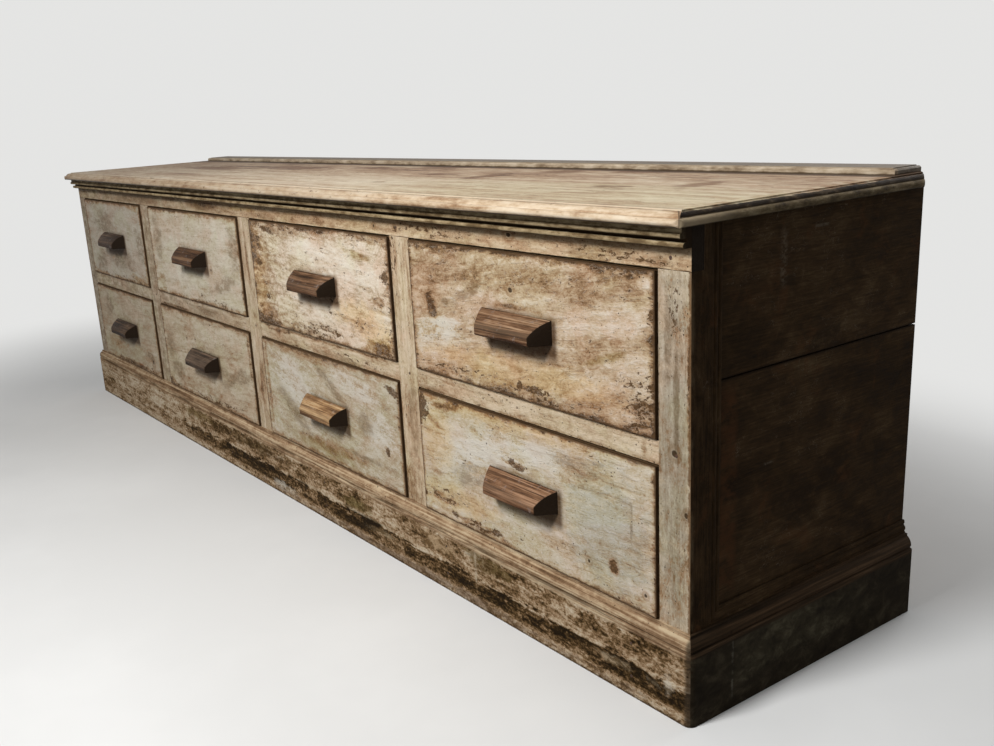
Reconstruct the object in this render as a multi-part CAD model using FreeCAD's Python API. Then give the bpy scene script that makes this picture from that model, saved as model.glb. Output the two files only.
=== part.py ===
import FreeCAD, Part
import math
import os
from collections import namedtuple

# Shop drawer cabinet in painted pine: a long low bank of drawers, two rows high, in millimetres.
# The origin is on the floor under the middle of the cabinet, with X along its length,
# -Y towards the drawer fronts and +Z up.

Vector = FreeCAD.Vector

# Driving dimensions of the face frame and the drawer openings
first_column_width = 508.0
column_width = 590.0
column_count = 4
row_count = 2
opening_height = 234.0
muntin_width = 63.0
frame_thickness = 24.0
mid_rail_height = 35.0
mid_rail_depth = 60.0
top_rail_height = 59.0
bottom_rail_height = 90.0
corner_post_width = 57.0
corner_post_depth = 62.0
frame_tenon_length = 14.0
frame_tenon_thickness = 9.0
frame_tenon_shoulder = 6.0

# Driving dimensions of the carcass behind the frame
case_depth = 513.0
end_board_thickness = 20.0
end_board_recess = 6.0
end_board_housing = 10.0
end_board_split_height = 488.0
end_board_gap = 2.0
end_rail_reveal = 22.0
edge_bead_width = 8.0
edge_quirk_width = 2.5
edge_bead_steps = (1.5, 3.5)
edge_bead_rise = 1.5
back_board_thickness = 12.0
back_board_count = 12
back_board_lap = 7.0
back_board_floor_clearance = 12.0
partition_thickness = 18.0
floor_board_thickness = 18.0
bearer_width = 45.0
runner_width = 46.0
kicker_height = 20.0
guide_height = 24.0
stop_width = 30.0
stop_depth = 20.0
stop_height = 6.0
stop_inset = 85.0

# Driving dimensions of the top, its mouldings and the plinth
top_thickness = 20.0
front_overhang = 37.0
side_overhang = 13.0
nosing_width = 45.0
side_narrowing_share = 0.7
nosing_slope_run = 21.0
nosing_step = 2.0
nosing_slope_bulge = 2.6
nosing_bead_height = 11.0
nosing_bead_recess = 4.0
nosing_bead_bulge = 4.0
nosing_quirk_width = 4.0
nosing_corner_radius = 12.0
nosing_back_clip = 30.0
top_joint_chamfer = 1.0
ledge_depth = 68.0
ledge_end_reach = 6.0
ledge_height = 10.0
ledge_bead_width = 8.0
ledge_bead_bulge = 1.8
ledge_bead_drop = 2.0
ledge_bead_height = 6.0
cornice_height = 28.0
cornice_upper_reach = 21.5
cornice_lower_reach = 15.5
cornice_fillet = 8.0
cornice_bead_height = 7.5
cornice_bead_bulge = 3.4
cornice_cove_depth = 3.0
cornice_cove_bulge = -1.6
plinth_height = 138.0
plinth_thickness = 14.0
plinth_fillet_reach = 4.0
plinth_fillet_drop = 4.0
plinth_ovolo_reach = 12.0
plinth_ovolo_drop = 20.5
plinth_ovolo_bulge = 2.4
plinth_groove_depth = 2.0
plinth_groove_drop = 22.5
plinth_groove_end = 25.0
plinth_corner_radius = 12.0

# Driving dimensions of the drawers
front_stand_out = 4.0
front_thickness = 22.0
drawer_back_clearance = 18.0
gap_beside_front = 2.5
gap_above_front = 2.5
gap_below_front = 1.5
running_gap = 0.3
guide_gap = 0.5
side_thickness = 12.0
back_thickness = 12.0
side_top_drop = 2.0
back_top_drop = 14.0
dovetail_lap = 6.0
dovetail_count = 5
back_dovetail_count = 3
dovetail_half_pin = 6.0
dovetail_pin_width = 11.0
dovetail_slope_share = 0.16
bottom_thickness = 9.0
bottom_edge_thickness = 5.0
bottom_groove_depth = 5.0
bottom_groove_height = 14.0
bottom_bevel_width = 20.0

# Driving dimensions of the finger pulls
pull_length = 172.0
pull_lift = 3.0
pull_end_splay = 21.0
pull_reach = 33.0
pull_height = 38.5
pull_nose_drop = 24.0
pull_nose_height = 12.0
pull_top_bulge = 3.5
pull_foot_reach = 28.0
pull_foot_bulge = 0.8
pull_scoop_back = 8.0
pull_scoop_front = 25.0
pull_scoop_depth = 11.0
pull_scoop_arch = 6.0
pull_cheek = 28.0

# One length by which cutting tools pass the faces they cut
overrun = 5.0

# Places worked out from the driving dimensions
end_columns = [first_column_width] + [column_width] * (column_count - 1)
case_length = sum(end_columns) + muntin_width * (column_count - 1) + 2 * corner_post_width
side_x = case_length / 2
pull_nose_reach = pull_reach + front_stand_out
front_y = (max(pull_nose_reach, front_overhang) - case_depth) / 2
back_y = front_y + case_depth
frame_back_y = front_y + frame_thickness
back_board_y = back_y - back_board_thickness
row_step = opening_height + mid_rail_height
row_floors = [plinth_height + row * row_step for row in range(row_count)]
frame_top = row_floors[-1] + opening_height
case_top = frame_top + top_rail_height
top_height = case_top + top_thickness
runner_lift = gap_below_front - running_gap
carcass_floor_top = plinth_height + runner_lift
carcass_floor_bottom = carcass_floor_top - floor_board_thickness
end_board_outer_x = side_x - end_board_recess
end_board_inner_x = end_board_outer_x - end_board_thickness
end_rail_height = plinth_height + end_rail_reveal
drawer_front_y = front_y - front_stand_out
drawer_front_back_y = drawer_front_y + front_thickness
drawer_rear_y = back_board_y - drawer_back_clearance
guide_reach = gap_beside_front - guide_gap


def column_openings():
    """Left and right edge of each column of drawers, from left to right."""
    openings = []
    left = -side_x + corner_post_width
    for width in end_columns:
        openings.append((left, left + width))
        left += width + muntin_width
    return openings


columns = column_openings()
muntin_centres = [right + muntin_width / 2 for left, right in columns[:-1]]


# Shapes that the pieces are built from
Arc = namedtuple("Arc", "through to")


def bulge(start, end, rise):
    """An arc from start to end whose middle stands off the chord by rise, to the left of travel."""
    run = (end[0] - start[0], end[1] - start[1])
    length = math.hypot(*run)
    through = ((start[0] + end[0]) / 2 - run[1] / length * rise,
               (start[1] + end[1]) / 2 + run[0] / length * rise)
    return Arc(through, end)


def prism(outline, place, travel):
    """A solid with the given closed outline of points and arcs, set in space by place."""
    edges = []
    here = outline[0]
    for step in list(outline[1:]) + [outline[0]]:
        if isinstance(step, Arc):
            edges.append(Part.Arc(place(*here), place(*step.through), place(*step.to)).toShape())
            here = step.to
        elif math.dist(here, step) > 0:
            edges.append(Part.makeLine(place(*here), place(*step)))
            here = step
    return Part.Face(Part.Wire(edges)).extrude(travel)


def box(x0, x1, y0, y1, z0, z1):
    """A rectangular block between two corners."""
    return Part.makeBox(x1 - x0, y1 - y0, z1 - z0, Vector(x0, y0, z0))


def along_x(outline, x0, x1):
    """A run along X of an outline given as (y, z)."""
    return prism(outline, lambda y, z: Vector(x0, y, z), Vector(x1 - x0, 0, 0))


def along_y(outline, y0, y1):
    """A run along Y of an outline given as (x, z)."""
    return prism(outline, lambda x, z: Vector(x, y0, z), Vector(0, y1 - y0, 0))


def along_z(outline, z0, z1):
    """A run along Z of an outline given as (x, y)."""
    return prism(outline, lambda x, y: Vector(x, y, z0), Vector(0, 0, z1 - z0))


def mirrored(shape):
    """The same piece for the other end of the cabinet."""
    return shape.mirror(Vector(0, 0, 0), Vector(1, 0, 0))


def rounded_plan(x, y, radius, z0, z1):
    """A block reaching x to both sides, back to back_y and forward to y, its front corners rounded."""
    ease = radius * (1 - math.sqrt(0.5))
    right_corner = Arc((x - ease, y + ease), (x - radius, y))
    left_corner = Arc((ease - x, y + ease), (-x, y + radius))
    outline = [(x, back_y), (x, y + radius), right_corner, (radius - x, y), left_corner, (-x, back_y)]
    return along_z(outline, z0, z1)


def save(name, *solids):
    """Write one node as a STEP file, as one solid or as a group of separate solids."""
    shape = solids[0] if len(solids) == 1 else Part.makeCompound(list(solids))
    shape.exportStep(f"parts/{name}.step")


# Face frame: corner posts, rails and muntins with stub tenons
tenon_y0 = front_y + (frame_thickness - frame_tenon_thickness) / 2
tenon_y1 = tenon_y0 + frame_tenon_thickness


def mid_rail_tenons(row_floor, left, right):
    """The two stub tenons of the rail below one opening."""
    z0 = row_floor - mid_rail_height + frame_tenon_shoulder
    z1 = row_floor - frame_tenon_shoulder
    return [box(left - frame_tenon_length, left, tenon_y0, tenon_y1, z0, z1),
            box(right, right + frame_tenon_length, tenon_y0, tenon_y1, z0, z1)]


def bottom_rail_tenons():
    """The two stub tenons that join the bottom rail to the corner posts."""
    left, right = columns[0][0], columns[-1][1]
    z0 = plinth_height - bottom_rail_height + frame_tenon_shoulder
    z1 = plinth_height - frame_tenon_shoulder
    return [box(left - frame_tenon_length, left, tenon_y0, tenon_y1, z0, z1),
            box(right, right + frame_tenon_length, tenon_y0, tenon_y1, z0, z1)]


def muntin_tenons(centre):
    """The stub tenons at the foot and head of one muntin."""
    x0 = centre - muntin_width / 2 + frame_tenon_shoulder
    x1 = centre + muntin_width / 2 - frame_tenon_shoulder
    return [box(x0, x1, tenon_y0, tenon_y1, plinth_height - frame_tenon_length, plinth_height),
            box(x0, x1, tenon_y0, tenon_y1, frame_top, frame_top + frame_tenon_length)]


def rail_tenons():
    """Every stub tenon of the rails between the uprights."""
    tenons = bottom_rail_tenons()
    for row_floor in row_floors[1:]:
        for left, right in columns:
            tenons += mid_rail_tenons(row_floor, left, right)
    return tenons


def cut_all(shape, tools):
    """The shape less every tool whose box meets the shape's box."""
    near = [tool for tool in tools if shape.BoundBox.intersect(tool.BoundBox)]
    return shape.cut(near) if near else shape


def build_muntins():
    """Uprights between the columns, mortised for the rails and tenoned at both ends."""
    muntins = []
    for centre in muntin_centres:
        upright = box(centre - muntin_width / 2, centre + muntin_width / 2,
                      front_y, frame_back_y, plinth_height, frame_top)
        muntins.append(cut_all(upright, rail_tenons()).fuse(muntin_tenons(centre)))
    return muntins


def build_mid_rails():
    """The rail below each opening but the lowest, tenoned into the uprights."""
    rails = []
    for row_floor in row_floors[1:]:
        for left, right in columns:
            rail = box(left, right, front_y, front_y + mid_rail_depth,
                       row_floor - mid_rail_height, row_floor)
            rails.append(rail.fuse(mid_rail_tenons(row_floor, left, right)))
    return rails


def build_top_rail():
    """The rail that runs over the corner posts and the muntins."""
    rail = box(-side_x, side_x, front_y, frame_back_y, frame_top, case_top)
    return cut_all(rail, [tenon for centre in muntin_centres for tenon in muntin_tenons(centre)])


def build_bottom_rail():
    """The rail behind the plinth, tenoned into the corner posts."""
    rail = box(columns[0][0], columns[-1][1], front_y, frame_back_y,
               plinth_height - bottom_rail_height, plinth_height)
    rail = cut_all(rail, [tenon for centre in muntin_centres for tenon in muntin_tenons(centre)])
    return rail.fuse(bottom_rail_tenons())


# Double bead stuck on the inner edges of each end's frame
def edge_mould():
    """Outline of the double bead as (distance from the flat face, depth below it)."""
    first, second = edge_bead_steps
    start = edge_quirk_width
    middle = start + edge_bead_width
    restart = middle + edge_quirk_width
    end = restart + edge_bead_width
    return [(0, 0), (start, first), bulge((start, first), (middle, first), -edge_bead_rise),
            (restart, second), bulge((restart, second), (end, second), -edge_bead_rise)]


mould_width = 2 * (edge_bead_width + edge_quirk_width)


def moulded(place_point):
    """The double bead's outline with every point and arc moved by place_point."""
    steps = []
    for step in edge_mould():
        if isinstance(step, Arc):
            steps.append(Arc(place_point(*step.through), place_point(*step.to)))
        else:
            steps.append(place_point(*step))
    return steps


post_back_y = front_y + corner_post_depth
post_mould_y = post_back_y - mould_width
mitre_foot_z = end_rail_height - mould_width


def end_mitre():
    """The wedge where the rail's bead runs on past the post's edge to meet the post's bead."""
    outline = [(post_mould_y, mitre_foot_z), (post_back_y, mitre_foot_z), (post_back_y, end_rail_height)]
    return along_x(outline, end_board_outer_x, side_x + overrun)


def end_board_room():
    """The room that the right end's boards take, housed in the post and in the rail."""
    return box(end_board_inner_x, end_board_outer_x, post_back_y - end_board_housing, back_y,
               end_rail_height - end_board_housing, case_top)


def right_end_boards():
    """The two boards of the right end, with an open joint, rebated at the back for the back boards."""
    rebate = box(end_board_inner_x - overrun, end_board_inner_x + end_board_thickness / 2,
                 back_board_y, back_y + overrun, 0, case_top + overrun)
    boards = end_board_room().cut(rebate)
    joint_low = end_board_split_height - end_board_gap / 2
    joint_top = end_board_split_height + end_board_gap / 2
    lower = box(0, side_x, front_y, back_y, 0, joint_low)
    upper = box(0, side_x, front_y, back_y, joint_top, case_top)
    return [boards.common(lower), boards.common(upper)]


def build_right_post():
    """Right corner post: moulded inner edge, housing for the end boards, halved for the top rail."""
    outline = [(side_x - corner_post_width, front_y), (side_x, front_y)]
    outline += moulded(lambda across, depth: (side_x - depth, post_mould_y + across))
    outline += [(end_board_outer_x, post_back_y), (side_x - corner_post_width, post_back_y)]
    post = along_z(outline, 0, case_top)
    foot = box(end_board_outer_x - end_board_recess, side_x, post_mould_y, post_back_y, 0, mitre_foot_z)
    post = post.fuse(foot).removeSplitter().cut(end_mitre())
    halving = box(side_x - corner_post_width - overrun, side_x + overrun,
                  front_y - overrun, frame_back_y, frame_top, case_top + overrun)
    return cut_all(post.cut([halving, end_board_room()]), rail_tenons())


def build_right_end_rail():
    """Bottom rail of the right end, with the double bead on its top edge mitred to the post's."""
    outline = [(end_board_inner_x, 0), (side_x, 0)]
    outline += moulded(lambda across, depth: (side_x - depth, mitre_foot_z + across))
    outline += [(end_board_outer_x, end_rail_height), (end_board_inner_x, end_rail_height)]
    rail = along_y(outline, post_back_y, back_y)
    bead = along_y(outline, post_mould_y, post_back_y).common(end_mitre())
    rebate = box(end_board_inner_x - overrun, end_board_inner_x + end_board_thickness / 2,
                 back_board_y, back_y + overrun, -overrun, case_top)
    return rail.fuse(bead).removeSplitter().cut([rebate, end_board_room()])


# Carcass interior: floor, partitions, runners, guides, kickers, stops and back boards
def build_floor():
    """The board that carries the lower drawers."""
    return box(-end_board_inner_x, end_board_inner_x, frame_back_y, back_board_y,
               carcass_floor_bottom, carcass_floor_top).cut(post_footprints())


def post_footprints():
    """The room that the two corner posts take in the carcass corners."""
    right = box(side_x - corner_post_width, side_x, front_y, post_back_y, 0, case_top)
    return [right, mirrored(right)]


def build_bearers():
    """Bearers from the ground to the floor board, one below each partition."""
    return [box(centre - bearer_width / 2, centre + bearer_width / 2,
                frame_back_y, back_board_y, 0, carcass_floor_bottom) for centre in muntin_centres]


def build_partitions():
    """The upright boards between the columns."""
    return [box(centre - partition_thickness / 2, centre + partition_thickness / 2,
                frame_back_y, back_board_y, carcass_floor_top, case_top) for centre in muntin_centres]


def bay_walls():
    """Left and right wall of each column's bay: an end board or a partition."""
    lefts = [-end_board_inner_x] + [centre + partition_thickness / 2 for centre in muntin_centres]
    rights = [centre - partition_thickness / 2 for centre in muntin_centres] + [end_board_inner_x]
    return list(zip(lefts, rights))


def strips(y0, z0, z1, reach):
    """A strip along both walls of every bay, reaching past the opening's edge by reach."""
    pieces = []
    for (left, right), (wall_left, wall_right) in zip(columns, bay_walls()):
        pieces.append(box(wall_left, left + reach, y0, back_board_y, z0, z1))
        pieces.append(box(right - reach, wall_right, y0, back_board_y, z0, z1))
    return [cut_all(piece, post_footprints()) for piece in pieces]


def runner_reach():
    """How far a runner passes the opening's edge, under the drawer's side."""
    return runner_width - (muntin_width - partition_thickness) / 2


def build_runners():
    """Runners under the upper drawers, as deep as the mid rail they stand behind."""
    low = row_floors[1] - mid_rail_height
    return strips(front_y + mid_rail_depth, low, row_floors[1] + runner_lift, runner_reach())


def build_guides(row):
    """Strips that keep the drawers of one row square in their bays."""
    z0 = row_floors[row] + runner_lift
    start = frame_back_y if row == 0 else front_y + mid_rail_depth
    return strips(start, z0, z0 + guide_height, guide_reach)


def build_kickers():
    """Strips above the upper drawers that stop them tipping as they are pulled out."""
    return strips(frame_back_y, frame_top, frame_top + kicker_height, runner_reach())


def build_stops():
    """Two small blocks behind each drawer front, on the floor board or the mid rail."""
    stops = []
    y0 = drawer_front_back_y + running_gap
    for row, row_floor in enumerate(row_floors):
        z0 = row_floor + (runner_lift if row == 0 else 0)
        for left, right in columns:
            for x0 in (left + stop_inset, right - stop_inset - stop_width):
                stops.append(box(x0, x0 + stop_width, y0, y0 + stop_depth, z0, z0 + stop_height))
    return stops


def build_back_boards():
    """Upright boards across the back, half-lapped along their edges."""
    half_span = end_board_inner_x + end_board_thickness / 2
    pitch = 2 * half_span / back_board_count
    middle_y = back_y - back_board_thickness / 2
    boards = []
    for index in range(back_board_count):
        x0 = -half_span + index * pitch
        x1 = x0 + pitch
        tongue_x0 = x0 + (back_board_lap if index > 0 else 0)
        tongue_x1 = x1 + (back_board_lap if index < back_board_count - 1 else 0)
        outer_half = box(x0, x1, middle_y, back_y, back_board_floor_clearance, case_top)
        inner_half = box(tongue_x0, tongue_x1, back_board_y, middle_y, back_board_floor_clearance, case_top)
        boards.append(outer_half.fuse(inner_half).removeSplitter())
    return boards


# Top: two planks inside a mitred nosing, with a raised ledge along the back
def nosing_outline(share):
    """Outline of the nosing as (distance in from its outer edge, height above the top's underside)."""
    flat = nosing_slope_run * share
    inner = nosing_width * share
    slope_top = top_thickness - nosing_step
    bead_in = nosing_bead_recess * share
    bead_top = (bead_in, nosing_bead_height)
    bead_foot = (bead_in, 0)
    slope_foot = (bead_in + nosing_quirk_width * share, nosing_bead_height)
    return [(inner, 0), (inner, top_thickness), (flat, top_thickness), (flat, slope_top),
            bulge((flat, slope_top), slope_foot, -nosing_slope_bulge),
            bead_top, bulge(bead_top, bead_foot, -nosing_bead_bulge * share)]


def placed(outline, place_point):
    """An outline with every point and arc moved by place_point."""
    return [Arc(place_point(*step.through), place_point(*step.to)) if isinstance(step, Arc)
            else place_point(*step) for step in outline]


nosing_front_y = front_y - front_overhang
nosing_side_x = side_x + side_overhang
plank_front_y = nosing_front_y + nosing_width
plank_side_x = nosing_side_x - nosing_width * side_narrowing_share
ledge_side_x = plank_side_x + ledge_end_reach


def nosing_mitre():
    """The right corner's wedge, from the outer corner to the planks' corner, as a cutting block."""
    reach = overrun / nosing_width
    start = (nosing_side_x + nosing_width * side_narrowing_share * reach,
             nosing_front_y - nosing_width * reach)
    end = (plank_side_x - nosing_width * side_narrowing_share * reach,
           plank_front_y + nosing_width * reach)
    return along_z([start, (nosing_side_x + overrun, end[1]), end],
                   case_top - overrun, top_height + overrun)


def nosing_plan():
    """The space over the case that the nosings fill, with its front corners rounded."""
    return rounded_plan(nosing_side_x, nosing_front_y, nosing_corner_radius, case_top, top_height)


def build_nosing_front():
    """Front nosing, mitred and rounded at both corners."""
    outline = placed(nosing_outline(1), lambda inward, z: (nosing_front_y + inward, case_top + z))
    run = along_x(outline, -nosing_side_x, nosing_side_x)
    return run.cut([nosing_mitre(), mirrored(nosing_mitre())]).common(nosing_plan())


def build_nosing_right():
    """Right nosing, narrower than the front's, mitred at its front corner and clipped at the back."""
    outline = placed(nosing_outline(side_narrowing_share),
                     lambda inward, z: (nosing_side_x - inward, case_top + z))
    run = along_y(outline, nosing_front_y, back_y).common(nosing_side_room()).common(nosing_plan())
    clip_y = back_y - nosing_back_clip
    clip = [(ledge_side_x, back_y), (nosing_side_x, clip_y), (nosing_side_x + overrun, clip_y),
            (nosing_side_x + overrun, back_y + overrun), (ledge_side_x, back_y + overrun)]
    return run.cut(along_z(clip, case_top - overrun, top_height + overrun))


def nosing_side_room():
    """All the space beside the planks that lies behind the mitre."""
    beside = box(plank_side_x, nosing_side_x + overrun, plank_front_y, back_y + overrun,
                 case_top - overrun, top_height + overrun)
    corner = along_z([(nosing_side_x, nosing_front_y), (nosing_side_x, plank_front_y),
                      (plank_side_x, plank_front_y)], case_top - overrun, top_height + overrun)
    return beside.fuse(corner).removeSplitter()


def build_top_planks():
    """Front and back plank of the top, eased along the joint between them."""
    middle = (plank_front_y + back_y) / 2
    eased = top_height - top_joint_chamfer
    front = [(plank_front_y, case_top), (middle, case_top), (middle, eased),
             (middle - top_joint_chamfer, top_height), (plank_front_y, top_height)]
    back = [(middle, case_top), (back_y, case_top), (back_y, top_height),
            (middle + top_joint_chamfer, top_height), (middle, eased)]
    return [along_x(outline, -plank_side_x, plank_side_x) for outline in (front, back)]


def ledge_outline(depth):
    """Outline of the ledge as (distance in from its beaded edge, height)."""
    ledge_top = top_height + ledge_height
    notch = (ledge_bead_width, ledge_top - ledge_bead_drop)
    return [(0, top_height), (depth, top_height), (depth, ledge_top), (ledge_bead_width, ledge_top),
            notch, bulge(notch, (0, top_height + ledge_bead_height), -ledge_bead_bulge)]


def build_back_ledge():
    """Raised strip along the back edge of the top, with a bead on its front and both its ends."""
    ledge_front = back_y - ledge_depth
    strip = along_x(placed(ledge_outline(ledge_depth), lambda inward, z: (ledge_front + inward, z)),
                    -ledge_side_x, ledge_side_x)
    end = along_y(placed(ledge_outline(ledge_side_x), lambda inward, z: (ledge_side_x - inward, z)),
                  ledge_front, back_y)
    return strip.common(end.fuse(mirrored(end)).removeSplitter()).removeSplitter()


def build_cornice():
    """Moulding with two beads under the front nosing, cut off square at the ends."""
    high = case_top - cornice_fillet
    upper_foot = high - cornice_bead_height
    low = case_top - cornice_height
    lower_top = low + cornice_bead_height
    upper_y = front_y - cornice_upper_reach + cornice_bead_bulge
    lower_y = front_y - cornice_lower_reach + cornice_bead_bulge
    cove_y = lower_y + cornice_cove_depth
    outline = [(front_y, case_top), (upper_y, case_top), (upper_y, high),
               bulge((upper_y, high), (upper_y, upper_foot), -cornice_bead_bulge),
               (cove_y, upper_foot), bulge((cove_y, upper_foot), (cove_y, lower_top), -cornice_cove_bulge),
               (lower_y, lower_top),
               bulge((lower_y, lower_top), (lower_y, low), -cornice_bead_bulge), (front_y, low)]
    return along_x(outline, -side_x, side_x)


# Plinth: a moulded board round the front and both ends, mitred at the corners
def plinth_outline():
    """Outline of the plinth as (distance out from the wall, height)."""
    fillet = (plinth_fillet_reach, plinth_height - plinth_fillet_drop)
    ovolo = (plinth_ovolo_reach, plinth_height - plinth_ovolo_drop)
    groove = (plinth_ovolo_reach - plinth_groove_depth, plinth_height - plinth_groove_drop)
    return [(0, 0), (0, plinth_height), (plinth_fillet_reach, plinth_height), fillet,
            bulge(fillet, ovolo, plinth_ovolo_bulge), groove,
            (plinth_thickness, plinth_height - plinth_groove_end), (plinth_thickness, 0)]


def plinth_side_room():
    """The space beside the right end that lies behind the plinth's mitre."""
    far = plinth_thickness + overrun
    outline = [(side_x, front_y), (side_x + far, front_y - far), (side_x + far, back_y), (side_x, back_y)]
    return along_z(outline, -overrun, plinth_height + overrun)


def plinth_plan():
    """The space that the plinth boards stand in, with its front corners rounded."""
    return rounded_plan(side_x + plinth_thickness, front_y - plinth_thickness, plinth_corner_radius,
                        0, plinth_height)


def build_plinth_front():
    """Front plinth board, mitred and rounded at both corners."""
    outline = placed(plinth_outline(), lambda out, z: (front_y - out, z))
    run = along_x(outline, -side_x - plinth_thickness, side_x + plinth_thickness)
    return run.cut([plinth_side_room(), mirrored(plinth_side_room())]).common(plinth_plan())


def build_plinth_right():
    """Right plinth board, from the front mitre to the back."""
    outline = placed(plinth_outline(), lambda out, z: (side_x + out, z))
    run = along_y(outline, front_y - plinth_thickness, back_y)
    return run.common(plinth_side_room()).common(plinth_plan())


# Drawers: dovetailed boxes with a bevelled bottom and a carved pull
def tails(x0, x1, base_y, tip_y, z0, z1, count):
    """A row of dovetails from base_y to tip_y, as wedges between x0 and x1."""
    tail_width = (z1 - z0 - 2 * dovetail_half_pin - (count - 1) * dovetail_pin_width) / count
    flare = abs(tip_y - base_y) * dovetail_slope_share
    wedges = []
    for index in range(count):
        low = z0 + dovetail_half_pin + index * (tail_width + dovetail_pin_width)
        high = low + tail_width
        outline = [(base_y, low + flare), (tip_y, low), (tip_y, high), (base_y, high - flare)]
        wedges.append(along_x(outline, x0, x1))
    return wedges


class Drawer:
    """The places of one drawer's pieces, worked out from its opening."""

    def __init__(self, column, row):
        opening_left, opening_right = columns[column]
        self.left = opening_left + gap_beside_front
        self.right = opening_right - gap_beside_front
        self.low = row_floors[row] + gap_below_front
        self.front_top = row_floors[row] + opening_height - gap_above_front
        self.side_top = self.front_top - side_top_drop
        self.inner_left = self.left + side_thickness
        self.inner_right = self.right - side_thickness
        self.socket_y = drawer_front_y + dovetail_lap
        self.groove_low = self.low + bottom_groove_height
        self.groove_top = self.groove_low + bottom_edge_thickness
        self.groove_y = drawer_front_back_y - bottom_groove_depth
        self.back_inner_y = drawer_rear_y - back_thickness

    def groove(self):
        """The room that the bottom's edge takes in the front and the sides."""
        return box(self.inner_left - bottom_groove_depth, self.inner_right + bottom_groove_depth,
                   self.groove_y, drawer_rear_y + overrun, self.groove_low, self.groove_top)

    def front_tails(self, x0, x1):
        """The tails that lock one side into the back of the front."""
        return tails(x0, x1, drawer_front_back_y, self.socket_y, self.low, self.side_top, dovetail_count)

    def build_front(self):
        """The front, with blind sockets for the sides' tails and a groove for the bottom."""
        board = box(self.left, self.right, drawer_front_y, drawer_front_back_y, self.low, self.front_top)
        sockets = self.front_tails(self.left - overrun, self.inner_left)
        sockets += self.front_tails(self.inner_right, self.right + overrun)
        return board.cut(sockets + [self.groove()])

    def build_back(self):
        """The back, standing on the bottom, with pins between the sides' tails."""
        board = box(self.left, self.right, self.back_inner_y, drawer_rear_y,
                    self.groove_top, self.side_top - back_top_drop)
        sockets = []
        for x0, x1 in ((self.left - overrun, self.inner_left), (self.inner_right, self.right + overrun)):
            sockets += tails(x0, x1, self.back_inner_y, drawer_rear_y,
                             self.groove_top, self.side_top - back_top_drop, back_dovetail_count)
        return board.cut(sockets)

    def build_side(self, x0, x1):
        """One side, with tails into the front and into the back."""
        board = box(x0, x1, drawer_front_back_y, drawer_rear_y, self.low, self.side_top)
        board = board.fuse(self.front_tails(x0, x1)).removeSplitter()
        return board.cut([self.build_back(), self.groove()])

    def build_bottom(self):
        """The bottom, bevelled underneath to fit its grooves and run out under the back."""
        left = self.inner_left - bottom_groove_depth
        right = self.inner_right + bottom_groove_depth
        low = self.groove_top - bottom_thickness
        panel = box(left, right, self.groove_y, drawer_rear_y, low, self.groove_top)
        edge = bottom_groove_depth
        bevel = edge + bottom_bevel_width
        side_wedge = [(0, low), (0, self.groove_low), (edge, self.groove_low), (bevel, low)]
        left_wedge = placed(side_wedge, lambda inward, z: (left + inward, z))
        right_wedge = placed(side_wedge, lambda inward, z: (right - inward, z))
        front_wedge = placed(side_wedge, lambda inward, z: (self.groove_y + inward, z))
        return panel.cut([along_y(left_wedge, self.groove_y, drawer_rear_y),
                          along_y(right_wedge, self.groove_y, drawer_rear_y),
                          along_x(front_wedge, left, right)])

    def build_pull(self):
        """The finger pull: a sloped block with splayed ends, scooped out between two cheeks."""
        centre_x = (self.left + self.right) / 2
        half = pull_length / 2
        top_z = (self.low + self.front_top + pull_height) / 2 + pull_lift
        nose_top = (pull_reach, pull_nose_drop)
        nose_foot = (pull_reach, pull_nose_drop + pull_nose_height)
        body = [(0, 0), bulge((0, 0), nose_top, -pull_top_bulge), nose_foot,
                bulge(nose_foot, (pull_foot_reach, pull_height), -pull_foot_bulge), (0, pull_height)]
        scoop_top = pull_height - pull_scoop_depth
        scoop = [(pull_scoop_back, pull_height + overrun), (pull_scoop_back, scoop_top),
                 bulge((pull_scoop_back, scoop_top), (pull_scoop_front, scoop_top), -pull_scoop_arch),
                 (pull_scoop_front, pull_height + overrun)]
        place = lambda reach, drop: (drawer_front_y - reach, top_z - drop)
        nose_y = drawer_front_y - pull_reach
        plan = [(centre_x - half, drawer_front_y), (centre_x + half, drawer_front_y),
                (centre_x + half - pull_end_splay, nose_y), (centre_x - half + pull_end_splay, nose_y)]
        block = along_x(placed(body, place), centre_x - half, centre_x + half)
        splayed = along_z(plan, top_z - pull_height, top_z + overrun)
        hollow = along_x(placed(scoop, place), centre_x - half + pull_cheek, centre_x + half - pull_cheek)
        return block.common(splayed).cut(hollow)


def save_drawer(name, drawer):
    """Write the four nodes of one drawer."""
    save(f"{name}_front", drawer.build_front())
    save(f"{name}_box", drawer.build_side(drawer.left, drawer.inner_left),
         drawer.build_side(drawer.inner_right, drawer.right), drawer.build_back())
    save(f"{name}_bottom", drawer.build_bottom())
    save(f"{name}_pull", drawer.build_pull())


# Write every node
os.makedirs("parts", exist_ok=True)

save("right_corner_post", build_right_post())
save("left_corner_post", mirrored(build_right_post()))
save("right_end_rail", build_right_end_rail())
save("left_end_rail", mirrored(build_right_end_rail()))
save("right_end_boards", *right_end_boards())
save("left_end_boards", *[mirrored(board) for board in right_end_boards()])
save("top_rail", build_top_rail())
save("bottom_rail", build_bottom_rail())
save("muntins", *build_muntins())
save("mid_rails", *build_mid_rails())
save("carcass_floor", build_floor())
save("floor_bearers", *build_bearers())
save("partitions", *build_partitions())
save("drawer_runners", *build_runners())
save("drawer_guides", *[guide for row in range(row_count) for guide in build_guides(row)])
save("drawer_kickers", *build_kickers())
save("drawer_stops", *build_stops())
save("back_boards", *build_back_boards())

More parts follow.
